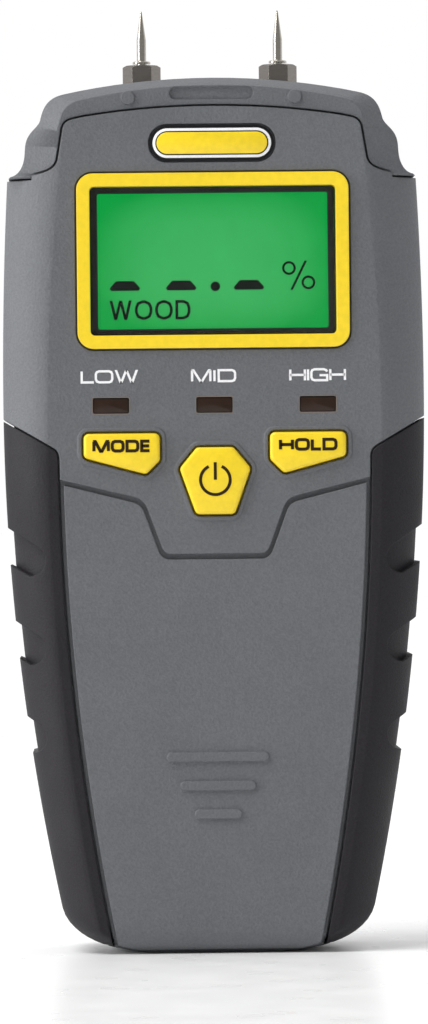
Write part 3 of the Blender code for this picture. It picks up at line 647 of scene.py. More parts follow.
def side_key_outline(side):
    corners = [(0.0114, 0.0793), (0.0217, 0.0821), (0.0217, 0.0861), (0.0091, 0.0861), (0.0091, 0.0816)]
    return on_side(rounded_polygon(corners, 0.0009), side)


def key_outlines():
    return {"mode": side_key_outline(-1), "power": power_outline(), "hold": side_key_outline(1)}


def head_outlines():
    """The head's outline and the smaller one of its front and rear faces, point for point."""
    low = HEAD_LOW[2] + 0.007
    outer = [(0, low), (0.0337, low)]
    outer += curve_through([(0.0334, 0.1288), (0.0316, 0.1292), (0.0314, 0.1305), (0.0308, 0.1318),
                            (0.0306, 0.1327), (0.0313, 0.1334), (0.0313, 0.1352), (0.0306, 0.1364),
                            (0.0285, 0.1366), (0.0283, 0.1385)], 28)
    outer += curve_through([(0.0281, 0.1392), (0.0275, 0.1412), (0.0262, 0.1421), (0.0244, 0.14245)], 10)
    for x in (0.022, 0.019, 0.016, 0.013, 0.010, 0.0065, 0.003, 0):
        outer.append((x, 0.145 - x ** 2 / (2 * 0.118)))
    face = []
    for x, z in outer:
        face.append((min(0.891 * x, HEAD_FACE_X), low + 0.915 * (z - low)))
    return mirrored(outer), mirrored(face)


# The casing's pieces

def front_casing():
    shell = object_of("front_casing", casing_block(halves="front", high=0.141))
    join(shell, plate(face_outline(), -THROUGH, THROUGH), "INTERSECT")
    join(shell, casing_block(CAVITY_INSET, WALL, low=WALL))
    join(shell, block((-0.04, 0.04), (FRONT_Y + WALL, 0.01), (SHOULDER_Z, 0.15)))
    for outline in key_outlines().values():
        join(shell, plate(grown(outline, KEY_LIP), FRONT_Y - KEY_LIP_PROUD, FRONT_Y + 0.001, 0.00018, 3),
             "UNION")
    edge = [(0, 0), (0.0245, 0), (0.0245, 0.0791), (0.0110, 0.0757), (0.0110, 0.0700), (0, 0.0700)]
    deck = object_of("deck", plate(mirrored(edge), -0.0121, DECK_REAR_Y))
    join(deck, casing_block(0.0008, 0.0008, low=0.0008), "INTERSECT")
    join(deck, block((-0.0153, 0.0153), (-0.0105, 0.0098), (0.0091, 0.0675)), "UNION")
    join(shell, taken(deck), "UNION")
    for side in (-1, 1):
        join(shell, region(grown(grip_outline(side), GAP), GRIP_THICKNESS + GAP))
    join(shell, region(grown(door_outline(-0.0004, -0.002), 0.0006), 0.0009, -0.0100))
    join(shell, region(grown(door_outline(-DOOR_RAIL, -0.002), -0.0005), 0.0023, -0.0100))
    join(shell, block((-0.0138, 0.0138), (-THROUGH, 0.0083), (0.0102, 0.0620)))
    join(shell, block((-0.0138, 0.0138), (-0.0097, 0.0083), (0.0600, 0.0660)))
    join(shell, block((-0.0050, 0.0050), (-0.0025, 0.0060), (0.0640, 0.0700)))
    seat = (BEZEL_HIGH[0] * 2 + 2 * GAP, BEZEL_HIGH[2] - BEZEL_LOW[2] + 2 * GAP)
    join(shell, panel(seat, (0, DISPLAY_Z), 0.003, -THROUGH, SEAT_Y))
    join(shell, panel((0.0432, 0.0272), (0, DISPLAY_Z), 0.0018, -0.014, CONTROL_REAR_Y))
    badge = (BADGE_HIGH[0] * 2 + 2 * GAP, BADGE_HIGH[2] - BADGE_LOW[2] + 2 * GAP)
    join(shell, panel(badge, (0, BADGE_Z), 0.0031, -THROUGH, SEAT_Y, corner_steps=12))
    for index in (-1, 0, 1):
        join(shell, panel(LAMP_SIZE, (index * LAMP_X, LAMP_Z), 0.0003, -THROUGH, CONTROL_REAR_Y,
                          corner_steps=4))
    for outline in key_outlines().values():
        join(shell, plate(grown(outline, KEY_GAP), -THROUGH, CONTROL_REAR_Y))
    present_even(shell, "spark_eroded_abs", "casing", "front_shell")


def screw_place(index):
    """The x and z of a case screw's axis, and the y of its inner end and of its head."""
    low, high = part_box(f"case_screw_{index}")
    return (low[0] + high[0]) / 2, (low[2] + high[2]) / 2, low[1], high[1]


def rear_casing():
    shell = object_of("rear_casing", casing_block(halves="rear", high=SHOULDER_Z))
    join(shell, casing_block(CAVITY_INSET, WALL, low=WALL))
    for side in (-1, 1):
        join(shell, region(grown(grip_outline(side), GAP), GRIP_THICKNESS + GAP))
    for index in (1, 2, 3, 4):
        x, z, _, _ = screw_place(index)
        join(shell, bar(0.0032, (x, 0.0003, z), (x, 0.0132, z)), "UNION")
        join(shell, bar(0.0014, (x, -0.002, z), (x, 0.016, z)))
        join(shell, bar(0.0026, (x, 0.005, z), (x, 0.016, z)))
    join(shell, panel((0.0406, 0.0246), (0, LABEL_Z), 0.0023, 0.0144, THROUGH))
    present_even(shell, "spark_eroded_abs", "casing", "rear_shell")


def head():
    outer, face = head_outlines()
    front, rear = HEAD_LOW[1], HEAD_HIGH[1]
    rings = [[(x, front, z) for x, z in face]]
    for y in (front + 0.0027, rear - 0.0027):
        rings.append([(x, y, z) for x, z in outer])
    rings.append([(x, rear, z) for x, z in face])
    piece = object_of("head_moulding", skin(rings))
    join(piece, block((-0.027, 0.027), (-0.0020, 0.0105), (0.1215, 0.1290)), "UNION")
    join(piece, block((-0.0242, 0.0242), (-0.0093, 0.0085), (0.1270, 0.1365)))
    join(piece, block((-0.0252, 0.0252), (-0.0005, 0.0090), (0.12, 0.1300)))
    join(piece, plate(grown(face_outline(), 0.00035), -THROUGH, -0.0116))
    join(piece, panel((0.0139, 0.0021), (0, 0.1423), 0.00104, -THROUGH, front + 0.0005))
    for side in (-1, 1):
        x = side * PIN_X
        dot = bar(0.0014, (side * 0.0138, -0.0120, 0.1416), (side * 0.0138, front - 0.00035, 0.1416),
                  end_radius=0.0011)
        join(piece, dot, "UNION")
        join(piece, bar(0.0025, (x, 0, 0.130), (x, 0, 0.150)))
        join(piece, bar(0.0036, (x, 0, NUT_LOW[2] - GAP), (x, 0, 0.150)))
    present_even(piece, "spark_eroded_abs", "casing", "pin_head")


def grips():
    for side, name in SIDES:
        piece = object_of(f"{name}_side_grip", casing_block())
        join(piece, plate(grip_outline(side), -THROUGH, THROUGH), "INTERSECT")
        join(piece, casing_block(GRIP_THICKNESS, GRIP_THICKNESS, low=GRIP_THICKNESS))
        for middle_z in NOTCH_HEIGHTS:
            join(piece, region(notch_outline(side, middle_z), NOTCH_DEPTH))
        present_even(piece, "moulded_rubber", "grip", f"{name}_grip")


def door():
    piece = object_of("door_panel", casing_block(halves="front", low=DOOR_LOW[2]))
    join(piece, plate(door_outline(-DOOR_RAIL, 0, DOOR_DROP), -THROUGH, FRONT_Y + WALL), "INTERSECT")
    rim = object_of("rim", block((-0.029, 0.029), (-THROUGH, 0.0), (-0.005, 0.081)))
    join(rim, plate(grown(door_outline(-0.0017, -0.01, DOOR_DROP), -0.0008), -0.03, 0.01))
    join(rim, casing_block(0.0006, 0.0006, low=0.0002), "INTERSECT")
    join(piece, taken(rim))
    for width, z in RIBS:
        rib = rounded_rectangle((width, RIB_HEIGHT), (0, z), 0.00077)
        join(piece, plate(rib, DOOR_LOW[1], FRONT_Y + 0.001, 0.0005, 4), "UNION")
    present_even(piece, "spark_eroded_abs", "casing", "battery_door", body="battery_door")


# The display

def bezel():
    size = (BEZEL_HIGH[0] * 2, BEZEL_HIGH[2] - BEZEL_LOW[2])
    middle = (0, DISPLAY_Z)
    piece = object_of("yellow_bezel", panel(size, middle, 0.0027, BEZEL_LOW[1], -0.0133, corner_steps=12))
    join(piece, panel((0.0426, 0.0266), middle, 0.0015, -0.0135, -0.0114), "UNION")
    join(piece, panel((0.0407, 0.0246), middle, 0.0008, -THROUGH, 0))
    present_even(piece, "polished_yellow_abs", "yellow", "display_bezel")


def window_and_gasket():
    low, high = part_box("display_window")
    size = (high[0] * 2, high[2] - low[2])
    pane = object_of("window_pane", panel(size, (0, DISPLAY_Z), 0.0006, low[1], high[1], 0.00012))
    present(pane, "clear_acrylic", "window", "display_window")
    low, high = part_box("display_gasket")
    # Painted shade: the dark rubber ring is grown out to the bezel's inner edge, so that besides the gasket
    # it stands for the shade that the bezel's wall casts round the display.
    ring = object_of("gasket_and_shade_ring", panel((0.0406, 0.0245), (0, DISPLAY_Z), 0.0007, low[1], high[1]))
    join(ring, panel((0.0381, 0.0224), (0, DISPLAY_Z), 0.0003, -THROUGH, 0, corner_steps=2))
    present_even(ring, "moulded_rubber", "dark", "display_gasket")


def stroke(mesh, points, width, y, depth, closed=False):
    """A flat line of even width through (x, z) points, with mitred corners, as a thin solid."""
    count = len(points)
    spots = [Vector(point) for point in points]
    sides = ([], [])
    for index, spot in enumerate(spots):
        back = spots[index - 1] if closed or index else None
        forth = spots[(index + 1) % count] if closed or index < count - 1 else None
        ways = [(spot - back).normalized()] if back is not None else []
        ways += [(forth - spot).normalized()] if forth is not None else []
        out = sum((Vector((way.y, -way.x)) for way in ways), Vector((0, 0))) / len(ways)
        out *= width / 2 / max(0.3, out.length_squared)
        for side, way in zip(sides, (1, -1)):
            x, z = spot + out * way
            side.append(mesh.verts.new((x, y, z)))
    first = [mesh.edges.new(pair) for pair in zip(sides[0], sides[0][1:] + sides[0][:closed])]
    second = [mesh.edges.new(pair) for pair in zip(sides[1], sides[1][1:] + sides[1][:closed])]
    flat = bmesh.ops.bridge_loops(mesh, edges=first + second)["faces"]
    thicken(mesh, flat, -depth)


def letter_strokes(letter, bend):
    """The lines of one wide capital in a unit box, with its round corners bent by (x, z)."""
    x, z = bend
    bow = [(1 - x, 0), (1 - 0.3 * x, 0.3 * z), (1, z), (1, 1 - z), (1 - 0.3 * x, 1 - 0.3 * z), (1 - x, 1)]
    loop = bow + [(x, 1), (0.3 * x, 1 - 0.3 * z), (0, 1 - z), (0, z), (0.3 * x, 0.3 * z), (x, 0)]
    return {
        "L": [[(0, 1), (0, 0), (1.1, 0)]],
        "O": [loop + loop[:1]],
        "W": [],
        "M": [[(0, 0), (0, 1)], [(1, 0), (1, 1)]],
        "I": [[(0, 1), (0, 0)]],
        "D": [[(0, 0)] + bow + [(0, 1), (0, 0)]],
        "E": [[(1, 1), (0, 1), (0, 0), (1, 0)], [(0, 0.5), (0.96, 0.5)]],
        "H": [[(0, 0), (0, 1)], [(1, 0), (1, 1)], [(0, 0.5), (1, 0.5)]],
        "G": [[(1, 0.78), (1 - 0.3 * x, 1 - 0.3 * z), (1 - x, 1)] + loop[6:]
              + [(1, 0), (1, 0.46), (0.52, 0.46)]],
    }[letter]


def slant(mesh, low, high, width, y, depth):
    """A slanted flat line with level ends, between two (x, z) points."""
    half = width / 2 * math.dist(low, high) / (high[1] - low[1])
    corners = [(low[0] - half, low[1]), (low[0] + half, low[1]), (high[0] + half, high[1]),
               (high[0] - half, high[1])]
    merged(mesh, plate(corners, y - depth, y))


def letter_slants(letter):
    """The slanted lines of one wide capital, each as the x of its low and of its high end."""
    return {"W": [(0.25, 0.02), (0.25, 0.5), (0.75, 0.5), (0.75, 0.98)],
            "M": [(0.5, 0.04), (0.5, 0.96)]}.get(letter, [])


def lettering(words, widths, gap, low, height, line, y, depth, curve=0.0006):
    """A word in wide plain capitals that starts at low, an (x, z) corner."""
    mesh = bmesh.new()
    x = low[0] + line / 2
    for letter, width in zip(words, widths):
        bend = (min(0.45, curve / max(width, 1e-5)), min(0.45, curve / height))
        for points in letter_strokes(letter, bend):
            placed = [(x + part * (width - line), low[1] + line / 2 + rise * (height - line))
                      for part, rise in points]
            closed = len(placed) > 2 and placed[0] == placed[-1]
            stroke(mesh, placed[:-1] if closed else placed, line, y, depth, closed)
        for foot, head_x in letter_slants(letter):
            slant(mesh, (x + foot * (width - line), low[1]), (x + head_x * (width - line), low[1] + height),
                  line, y, depth)
        x += width + gap
    return outwards(mesh)


def liquid_crystal():
    """The lit panel, and the dark segments that stand for a reading on it."""
    low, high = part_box("lcd_panel")
    glass = object_of("lit_panel", block((low[0], high[0]), (low[1], high[1]), (low[2], high[2]), 0.0002))
    present(glass, "lit_lcd_glass", "panel", "lcd_panel")
    y = low[1] - 0.00002
    ink = bmesh.new()
    for middle in (-0.01455, -0.00525, 0.00595):
        dash = [(middle - 0.00225, 0.1098), (middle + 0.00225, 0.1098), (middle + 0.00255, 0.1102),
                (middle + 0.0015, 0.1114), (middle - 0.0015, 0.1114), (middle - 0.00255, 0.1102)]
        merged(ink, plate(dash, y - SEGMENT_INK, y))
    merged(ink, plate(arc((0.0004, 0.1104), 0.0008, 0, 345, 23), y - SEGMENT_INK, y))
    merged(ink, lettering("WOOD", (0.0038, 0.0029, 0.0029, 0.0025), 0.00045, (-0.0172, 0.1050), 0.0032,
                          0.00047, y, SEGMENT_INK, 0.0012))
    merged(ink, percent_sign((0.0142, 0.1121), y, SEGMENT_INK))
    present(object_of("lcd_segments", ink), "lcd_segments", "dark")


def percent_sign(centre, y, depth):
    """Two small rings and a slanted bar."""
    mesh = bmesh.new()
    for side in (-1, 1):
        ring = arc((centre[0] + side * 0.0016, centre[1] - side * 0.0012), 0.00095, 0, 345, 23)
        stroke(mesh, ring, 0.00038, y, depth, closed=True)
    slant(mesh, (centre[0] - 0.0012, centre[1] - 0.0024), (centre[0] + 0.0012, centre[1] + 0.0024), 0.00038,
          y, depth)
    return outwards(mesh)


# The keys, lamps and printed words

def outline_middle(outline):
    return (min(x for x, z in outline) + max(x for x, z in outline)) / 2


def key(name, words, crown):
    """A yellow cap with a soft crown and its legend in dark ink."""
    outline = key_outlines()[name]
    low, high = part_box(f"{name}_button")
    y = low[1] + KEY_INSET
    cap = object_of(f"{name}_cap", plate(outline, y, KEY_FOOT_Y + 0.0003, crown, 4))
    join(cap, plate(grown(outline, KEY_FLANGE), KEY_FOOT_Y, high[1]), "UNION")
    present(cap, "polished_yellow_abs", "yellow", f"{name}_button", body=f"{name}_key", smooth_angle=35)
    if words:
        widths = {"MODE": (0.0029, 0.0023, 0.0023, 0.0018), "HOLD": (0.0025, 0.0025, 0.0018, 0.0025)}[words]
        start = outline_middle(outline) - sum(widths) / 2 - 0.0002
        legend = lettering(words, widths, 0.00013, (start, 0.08295), LEGEND_HEIGHT, 0.00052, y, LEGEND_INK)
    else:
        legend = power_symbol(y)
    present(object_of(f"{name}_legend", legend), "key_ink", "dark", body=f"{name}_key")


def power_symbol(y):
    """An open ring with a bar in its gap."""
    centre_z, line = 0.0783, 0.0005
    mesh = bmesh.new()
    stroke(mesh, arc((0, centre_z), 0.00245, 116, 424, 40), line, y, LEGEND_INK)
    stroke(mesh, [(0, centre_z), (0, centre_z + 0.0029)], line, y, LEGEND_INK)
    return outwards(mesh)


def lamp_windows():
    for index, name in ((-1, "low"), (0, "mid"), (1, "high")):
        low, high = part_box(f"{name}_window")
        size = (high[0] - low[0], high[2] - low[2])
        middle = (index * LAMP_X, LAMP_Z)
        mesh = panel(size, middle, 0.0003, FRONT_Y + 0.00008, high[1], 0.00005, 4)
        present(object_of(f"{name}_lamp_pane", mesh), "smoked_acrylic", "smoked", f"{name}_window")
        # Painted highlight: a thin pale tan line round the pane stands for light caught on the rim of the
        # opening.
        highlight_line = bmesh.new()
        outline = rounded_rectangle(LAMP_HIGHLIGHT_SIZE, middle, 0.0003, 4)
        stroke(highlight_line, outline, 0.00014, FRONT_Y, 0.00003, closed=True)
        present(object_of(f"{name}_lamp_rim_highlight", outwards(highlight_line)), "painted_highlight_ink", "casing")


def printed_words(ink):
    for name, words, widths, middle in (
            ("low", "LOW", (0.0022, 0.0031, 0.0040), -0.0173),
            ("mid", "MID", (0.0034, 0.0004, 0.0031), -0.0001),
            ("high", "HIGH", (0.0028, 0.0004, 0.0030, 0.0028), 0.0171)):
        gap = 0.00014 if name != "mid" else 0.00030
        start = middle - (sum(widths) + gap * (len(words) - 1)) / 2
        mesh = lettering(words, widths, gap, (start, 0.0944), LETTER_HEIGHT, 0.00039, FRONT_Y, ink)
        present(object_of(f"{name}_label", mesh), "white_screen_ink", "white")


def badge():
    """The capsule badge: yellow in a black line, a white ring and a black rim, with no mark on it."""
    size = Vector((BADGE_HIGH[0] * 2, BADGE_HIGH[2] - BADGE_LOW[2]))
    layers = (("badge_rim", 0.0, 0.0, "black_screen_ink"),
              ("badge_ring", 0.00045, 0.00006, "white_screen_ink"),
              ("badge_line", 0.0009, 0.00011, "black_screen_ink"),
              ("badge_field", 0.0011, 0.00016, "polished_yellow_abs"))
    for name, inset, lift, finish in layers:
        outline = rounded_rectangle(size - Vector((2 * inset, 2 * inset)), (0, BADGE_Z),
                                    size.y / 2 - inset - 0.00001, 20)
        front = BADGE_LOW[1] + 0.0002 - lift
        rear = BADGE_HIGH[1] if name == "badge_rim" else front + 0.0002
        nodes = ("badge_plate",) if name == "badge_rim" else ()
        present(object_of(name, plate(outline, front, rear, 0.00004)), finish, "yellow", *nodes)


# Pins, nuts, screws and the rear label

def contact_pins():
    for side, name in SIDES:
        tip, cone, flange = PIN_HIGH[2], 0.1523, NUT_HIGH[2] + 0.0007
        radius = 0.00078
        profile = [(0, tip), (0.00006, tip - 0.00004), (0.00014, tip - 0.0003), (radius - 0.00004, cone),
                   (radius, cone - 0.0002), (radius, flange + 0.0002), (radius + 0.0001, flange),
                   (0.0014, flange), (0.0015, flange - 0.0001), (0.0015, NUT_HIGH[2] + GAP),
                   (radius, NUT_HIGH[2] + GAP), (radius, PIN_LOW[2]), (0, PIN_LOW[2])]
        pin = object_of(f"{name}_contact_pin", turned(profile, (side * PIN_X, 0), 40))
        present(pin, "turned_nickel", "steel", f"{name}_pin", smooth_angle=28)


def hex_nuts():
    for side, name in SIDES:
        x = side * PIN_X
        corner = NUT_HIGH[0] - PIN_X
        mesh = bmesh.new()
        bmesh.ops.create_cone(mesh, cap_ends=True, segments=6, radius1=corner, radius2=corner,
                              depth=NUT_HIGH[2] - NUT_LOW[2],
                              matrix=Matrix.Translation((x, 0, (NUT_LOW[2] + NUT_HIGH[2]) / 2))
                              @ Matrix.Rotation(math.radians(90), 4, "Z"))
        nut = object_of(f"{name}_hex_nut", mesh)
        top, foot = NUT_HIGH[2], NUT_LOW[2] - 0.001
        chamfer = [(0, top + 0.0001), (corner - 0.00045, top + 0.0001), (corner - 0.00045, top - 0.00002),
                   (corner + 0.0002, top - 0.0004), (corner + 0.0002, foot), (0, foot)]
        join(nut, turned(chamfer, (x, 0), 48), "INTERSECT")
        join(nut, bar(0.00108, (x, 0, 0.14), (x, 0, 0.15)))
        # The nut's nickel is darkened: painted shade for the dark reflections on its flat faces.
        present_even(nut, "darkened_nickel", "steel", f"{name}_pin_nut")


def case_screws():
    for index in (1, 2, 3, 4):
        x, z, inner_y, head_y = screw_place(index)
        profile = [(0, head_y), (0.0016, head_y), (0.0021, head_y - 0.00025), (0.0023, head_y - 0.0007),
                   (0.0023, head_y - 0.0018), (0.0011, head_y - 0.0018), (0.0011, inner_y), (0, inner_y)]
        mesh = turned(profile, (0, 0), 32)
        turn = Matrix.Rotation(-math.pi / 2, 3, "X")
        bmesh.ops.rotate(mesh, verts=mesh.verts, cent=(0, 0, 0), matrix=turn)
        bmesh.ops.translate(mesh, verts=mesh.verts, vec=(x, 0, z))
        screw = object_of(f"casing_screw_{index}", mesh)
        for half in ((0.0014, 0.00032), (0.00032, 0.0014)):
            join(screw, block((x - half[0], x + half[0]), (head_y - 0.001, head_y + 0.001),
                              (z - half[1], z + half[1])))
        present(screw, "turned_nickel", "steel", f"case_screw_{index}")


def rear_label():
    low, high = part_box("rear_label")
    mesh = panel((high[0] * 2, high[2] - low[2]), (0, LABEL_Z), 0.002, low[1], high[1])
    piece = object_of("rear_label_plate", mesh)
    present_even(piece, "printed_label_film", "dark", "rear_label")


def inner_parts():
    """Gives the pieces inside, which keep the frame's own shapes, their finishes."""
    finishes = {
        "main_board": "solder_mask", "controller_chip": "black_abs", "buzzer": "black_abs",
        "battery": "lacquered_tin", "battery_snap": "black_abs", "light_guide": "white_nylon",
        "contact_strip": "silicone_strip", "door_foam_pad": "open_cell_foam", "red_lead": "red_pvc",
        "black_lead": "black_pvc",
    }
    for side in ("left", "right"):
        finishes[f"{side}_pin_lead"] = "red_pvc"
        finishes[f"{side}_pin_socket"] = "turned_brass"
    for name in ("mode", "power", "hold"):
        finishes[f"{name}_switch"] = "black_abs"
        finishes[f"{name}_plunger"] = "black_abs"
    for name in ("low", "mid", "high"):
        finishes[f"{name}_lamp"] = "white_nylon"
    for index in (1, 2, 3, 4):
        finishes[f"board_screw_{index}"] = "turned_nickel"
    for node, finish in finishes.items():
        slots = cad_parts[node].data.materials
        slots.clear()
        slots.append(bpy.data.materials[finish])


# The stage

def floor():
    """A wide pale floor that runs out to the horizon."""
    mesh = bmesh.new()
    bmesh.ops.create_circle(mesh, cap_ends=True, segments=96, radius=30)
    bmesh.ops.translate(mesh, verts=mesh.verts, vec=(0, 0, -0.00005))
    bmesh.ops.recalc_face_normals(mesh, faces=mesh.faces)
    plain = object_of("studio_floor", mesh)
    plain.data.materials.append(bpy.data.materials["glazed_board"])


def surround():
    """A plain studio surround: white behind the object and pale grey in front of it."""
    world = bpy.data.worlds.new("studio")
    world.use_nodes = True
    place = add(world, "ShaderNodeTexCoord")
    parts = add(world, "ShaderNodeSeparateXYZ", None, {"Vector": place.outputs["Generated"]})
    level = add(world, "ShaderNodeMapRange", {"From Min": -0.3, "From Max": 0.25, "To Min": 0.35,
                                              "To Max": 1.0},
                {"Value": parts.outputs["Y"]})
    background = world.node_tree.nodes["Background"]
    world.node_tree.links.new(level.outputs["Result"], background.inputs["Strength"])
    background.inputs["Color"].default_value = (1, 1, 1, 1)
    bpy.context.scene.world = world


def high_light(strength):
    """A soft high light from the upper left, which reaches all of the floor."""
    data = bpy.data.lights.new("high_light", "SUN")
    data.energy = strength
    data.angle = math.radians(35)
    shown("high_light", data).rotation_euler = turned_along(Vector((0.45, 0.35, -1.0)))


def side_light(place, aim, size, power):
    """A soft rectangular light at a place on the left, turned towards a point."""
    data = bpy.data.lights.new("side_light", "AREA")
    data.shape = "RECTANGLE"
    data.size, data.size_y = size
    data.energy = power
    lamp = shown("side_light", data)
    lamp.location = place
    lamp.rotation_euler = turned_along(Vector(aim) - Vector(place))


def turned_along(way):
    """The turn that points a light along a direction."""
    return way.to_track_quat("-Z", "Y").to_euler()


def camera(view):
    """A level camera with a long lens, in front of the object and a little to its left."""
    aim = Vector((view.aim_x, FRONT_Y, view.aim_z))
    way = Matrix.Rotation(-view.turn, 3, "Z") @ Vector((0, 1, 0))
    data = bpy.data.cameras.new("camera")
    data.sensor_fit = "HORIZONTAL"
    data.sensor_width = 36
    data.lens = data.sensor_width * view.distance / view.field
    data.clip_start, data.clip_end = 0.05, 20
    eye = shown("camera", data)
    eye.location = aim - way * view.distance
    eye.rotation_euler = (Matrix.Rotation(-view.turn, 3, "Z") @ Matrix.Rotation(math.pi / 2, 3, "X")
                          @ Matrix.Rotation(-view.roll, 3, "Z")).to_euler()
    bpy.context.scene.camera = eye


# The add-on: its settings, its operators and its panel

def colour_property(name, description, hex_colour):
    return bpy.props.FloatVectorProperty(name=name, description=description, subtype="COLOR", size=3,
                                         min=0, max=1, default=linear(hex_colour))


def length_property(name, description, default):
    return bpy.props.FloatProperty(name=name, description=description, subtype="DISTANCE",
                                   unit="LENGTH", precision=5, min=0, default=default)


class MeterColours(bpy.types.PropertyGroup):
    casing: colour_property("Casing", "Colour of the moulded shells, head and door", "#616367")
    grip: colour_property("Grips", "Colour of the rubber side grips", "#232125")
    yellow: colour_property("Yellow", "Colour of the bezel, the keys and the badge field", "#f7d61c")
    smoked: colour_property("Lamp windows", "Colour of the smoked windows over the lamps", "#2e1f17")
    label: colour_property("Labels", "Colour of the printed words and the badge's ring", "#f2f2f4")
    legend: colour_property("Key legends", "Colour of the words and the symbol on the keys", "#2c1d08")
    segment: colour_property("Segments", "Colour of the display's dark segments", "#020a04")
    glow_middle: colour_property("Glow, middle", "Colour of the lit display's middle", "#3fb361")
    glow_rim: colour_property("Glow, rim", "Colour of the lit display near its rim", "#009e3f")
    glow_strength: bpy.props.FloatProperty(
        name="Glow strength", description="How brightly the display is lit", min=0, default=1.0)


class MeterSizes(bpy.types.PropertyGroup):
    edge: length_property("Edge rounding", "Radius along the edges of the hard mouldings", 0.0003)
    grip_edge: length_property("Grip rounding", "Radius along the edges of the rubber grips", 0.0004)
    key_crown: length_property("Key crown", "Rounding round the top of each key", 0.0006)
    ink: length_property("Ink height", "How far the printed words stand off the casing", 0.00004)


class MeterView(bpy.types.PropertyGroup):
    distance: length_property("Distance", "From the camera to the front of the casing", 1.0)
    field: length_property("Field", "Width of what the camera sees at the front of the casing", 0.07074)
    aim_x: bpy.props.FloatProperty(
        name="Aim across", description="How far to the right of the object's axis the view is centred",
        subtype="DISTANCE", unit="LENGTH", precision=5, default=-0.00026)
    aim_z: length_property("Aim height", "Height of the middle of the view", 0.07298)
    turn: bpy.props.FloatProperty(
        name="Turn", description="How far round to the object's left the camera stands",
        subtype="ANGLE", unit="ROTATION", default=math.radians(1.0))
    roll: bpy.props.FloatProperty(
        name="Roll", description="Turn of the camera about its own line of sight, clockwise",
        subtype="ANGLE", unit="ROTATION", default=math.radians(0.58))


class METER_OT_finishes(bpy.types.Operator):
    """Make every material of the meter from its colours"""
    bl_idname = "meter.finishes"
    bl_label = "Finishes"

    def execute(self, context):
        colours, sizes = context.scene.meter_colours, context.scene.meter_sizes
        spark_eroded_abs(colours, sizes.edge)
        moulded_rubber(colours, sizes.grip_edge)
        polished_yellow_abs(colours, sizes.edge)
        for make in (screen_inks, smoked_acrylic, lit_lcd_glass):
            make(colours)
        clear_acrylic()
        turned_metals()
        inner_finishes()
        return {"FINISHED"}


class METER_OT_casing(bpy.types.Operator):
    """Mould the front and rear shells"""
    bl_idname = "meter.casing"
    bl_label = "Casing shells"

    def execute(self, context):
        front_casing()
        rear_casing()
        return {"FINISHED"}


class METER_OT_head(bpy.types.Operator):
    """Mould the head that holds the two contact pins"""
    bl_idname = "meter.head"
    bl_label = "Pin head"

    def execute(self, context):
        head()
        return {"FINISHED"}


class METER_OT_grips(bpy.types.Operator):
    """Mould the rubber grips over both sides, with their finger notches"""
    bl_idname = "meter.grips"
    bl_label = "Side grips"

    def execute(self, context):
        grips()
        return {"FINISHED"}


class METER_OT_door(bpy.types.Operator):
    """Mould the sliding battery door and its three thumb ribs"""
    bl_idname = "meter.door"
    bl_label = "Battery door"

    def execute(self, context):
        door()
        return {"FINISHED"}


class METER_OT_display(bpy.types.Operator):
    """Fit the yellow bezel, the window, the gasket and the lit panel with its segments"""
    bl_idname = "meter.display"
    bl_label = "Display"

    def execute(self, context):
        bezel()
        window_and_gasket()
        liquid_crystal()
        return {"FINISHED"}


class METER_OT_keys(bpy.types.Operator):
    """Mould the three yellow keys and print their legends"""
    bl_idname = "meter.keys"
    bl_label = "Keys"

    def execute(self, context):
        for name, words in (("mode", "MODE"), ("power", ""), ("hold", "HOLD")):
            key(name, words, context.scene.meter_sizes.key_crown)
        return {"FINISHED"}


class METER_OT_lamps(bpy.types.Operator):
    """Fit the three lamp windows and print the words above them"""
    bl_idname = "meter.lamps"
    bl_label = "Lamp windows"

    def execute(self, context):
        lamp_windows()
        printed_words(context.scene.meter_sizes.ink)
        return {"FINISHED"}


class METER_OT_badge(bpy.types.Operator):
    """Fit the plain capsule badge on the casing's tongue"""
    bl_idname = "meter.badge"
    bl_label = "Badge"

    def execute(self, context):
        badge()
        return {"FINISHED"}


class METER_OT_pins(bpy.types.Operator):
    """Turn the two contact pins and mill the nuts that hold them"""
    bl_idname = "meter.pins"
    bl_label = "Pins and nuts"

    def execute(self, context):
        contact_pins()
        hex_nuts()
        return {"FINISHED"}


class METER_OT_rear(bpy.types.Operator):
    """Fit the four casing screws and the blank label on the rear"""
    bl_idname = "meter.rear"
    bl_label = "Rear screws and label"

    def execute(self, context):
        case_screws()
        rear_label()
        return {"FINISHED"}


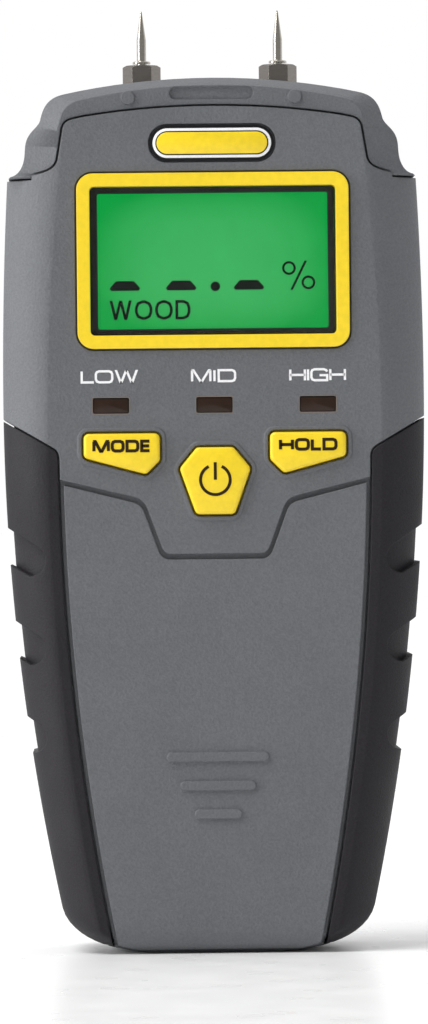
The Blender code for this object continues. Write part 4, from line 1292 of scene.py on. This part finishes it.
class METER_OT_inside(bpy.types.Operator):
    """Give the board, the battery, the leads and the other inner pieces their finishes"""
    bl_idname = "meter.inside"
    bl_label = "Inner pieces"

    def execute(self, context):
        inner_parts()
        return {"FINISHED"}


class METER_OT_stage(bpy.types.Operator):
    """Lay the floor, hang the lights and place the camera"""
    bl_idname = "meter.stage"
    bl_label = "Stage"

    def execute(self, context):
        moulded("glazed_board", linear("#f7f7f7"), 0.30, 0.02, 0.000001, 0.002, Specular_IOR_Level=0.15)
        floor()
        surround()
        high_light(1.8)
        side_light((-1.3, -0.35, 0.35), (0, 0, 0.08), (0.5, 0.9), 12)
        context.scene.view_settings.view_transform = "Standard"
        camera(context.scene.meter_view)
        return {"FINISHED"}


OPERATORS = (METER_OT_finishes, METER_OT_casing, METER_OT_head, METER_OT_grips, METER_OT_door,
             METER_OT_display, METER_OT_keys, METER_OT_lamps, METER_OT_badge, METER_OT_pins,
             METER_OT_rear, METER_OT_inside, METER_OT_stage)


class METER_PT_panel(bpy.types.Panel):
    """The meter's settings and the steps that build it"""
    bl_label = "Moisture meter"
    bl_idname = "METER_PT_panel"
    bl_space_type = "VIEW_3D"
    bl_region_type = "UI"
    bl_category = "Meter"

    def draw(self, context):
        for group in (context.scene.meter_colours, context.scene.meter_sizes, context.scene.meter_view):
            box = self.layout.box()
            for name in group.bl_rna.properties.keys():
                if name not in ("rna_type", "name"):
                    box.prop(group, name)
        for operator in OPERATORS:
            self.layout.operator(operator.bl_idname)


CLASSES = (MeterColours, MeterSizes, MeterView, *OPERATORS, METER_PT_panel)


def register():
    for made in CLASSES:
        bpy.utils.register_class(made)
    bpy.types.Scene.meter_colours = bpy.props.PointerProperty(type=MeterColours)
    bpy.types.Scene.meter_sizes = bpy.props.PointerProperty(type=MeterSizes)
    bpy.types.Scene.meter_view = bpy.props.PointerProperty(type=MeterView)


def unregister():
    del bpy.types.Scene.meter_view
    del bpy.types.Scene.meter_sizes
    del bpy.types.Scene.meter_colours
    for made in reversed(CLASSES):
        bpy.utils.unregister_class(made)


def main():
    register()
    for operator in OPERATORS:
        group, name = operator.bl_idname.split(".")
        getattr(getattr(bpy.ops, group), name)()


if __name__ == "__main__":
    main()
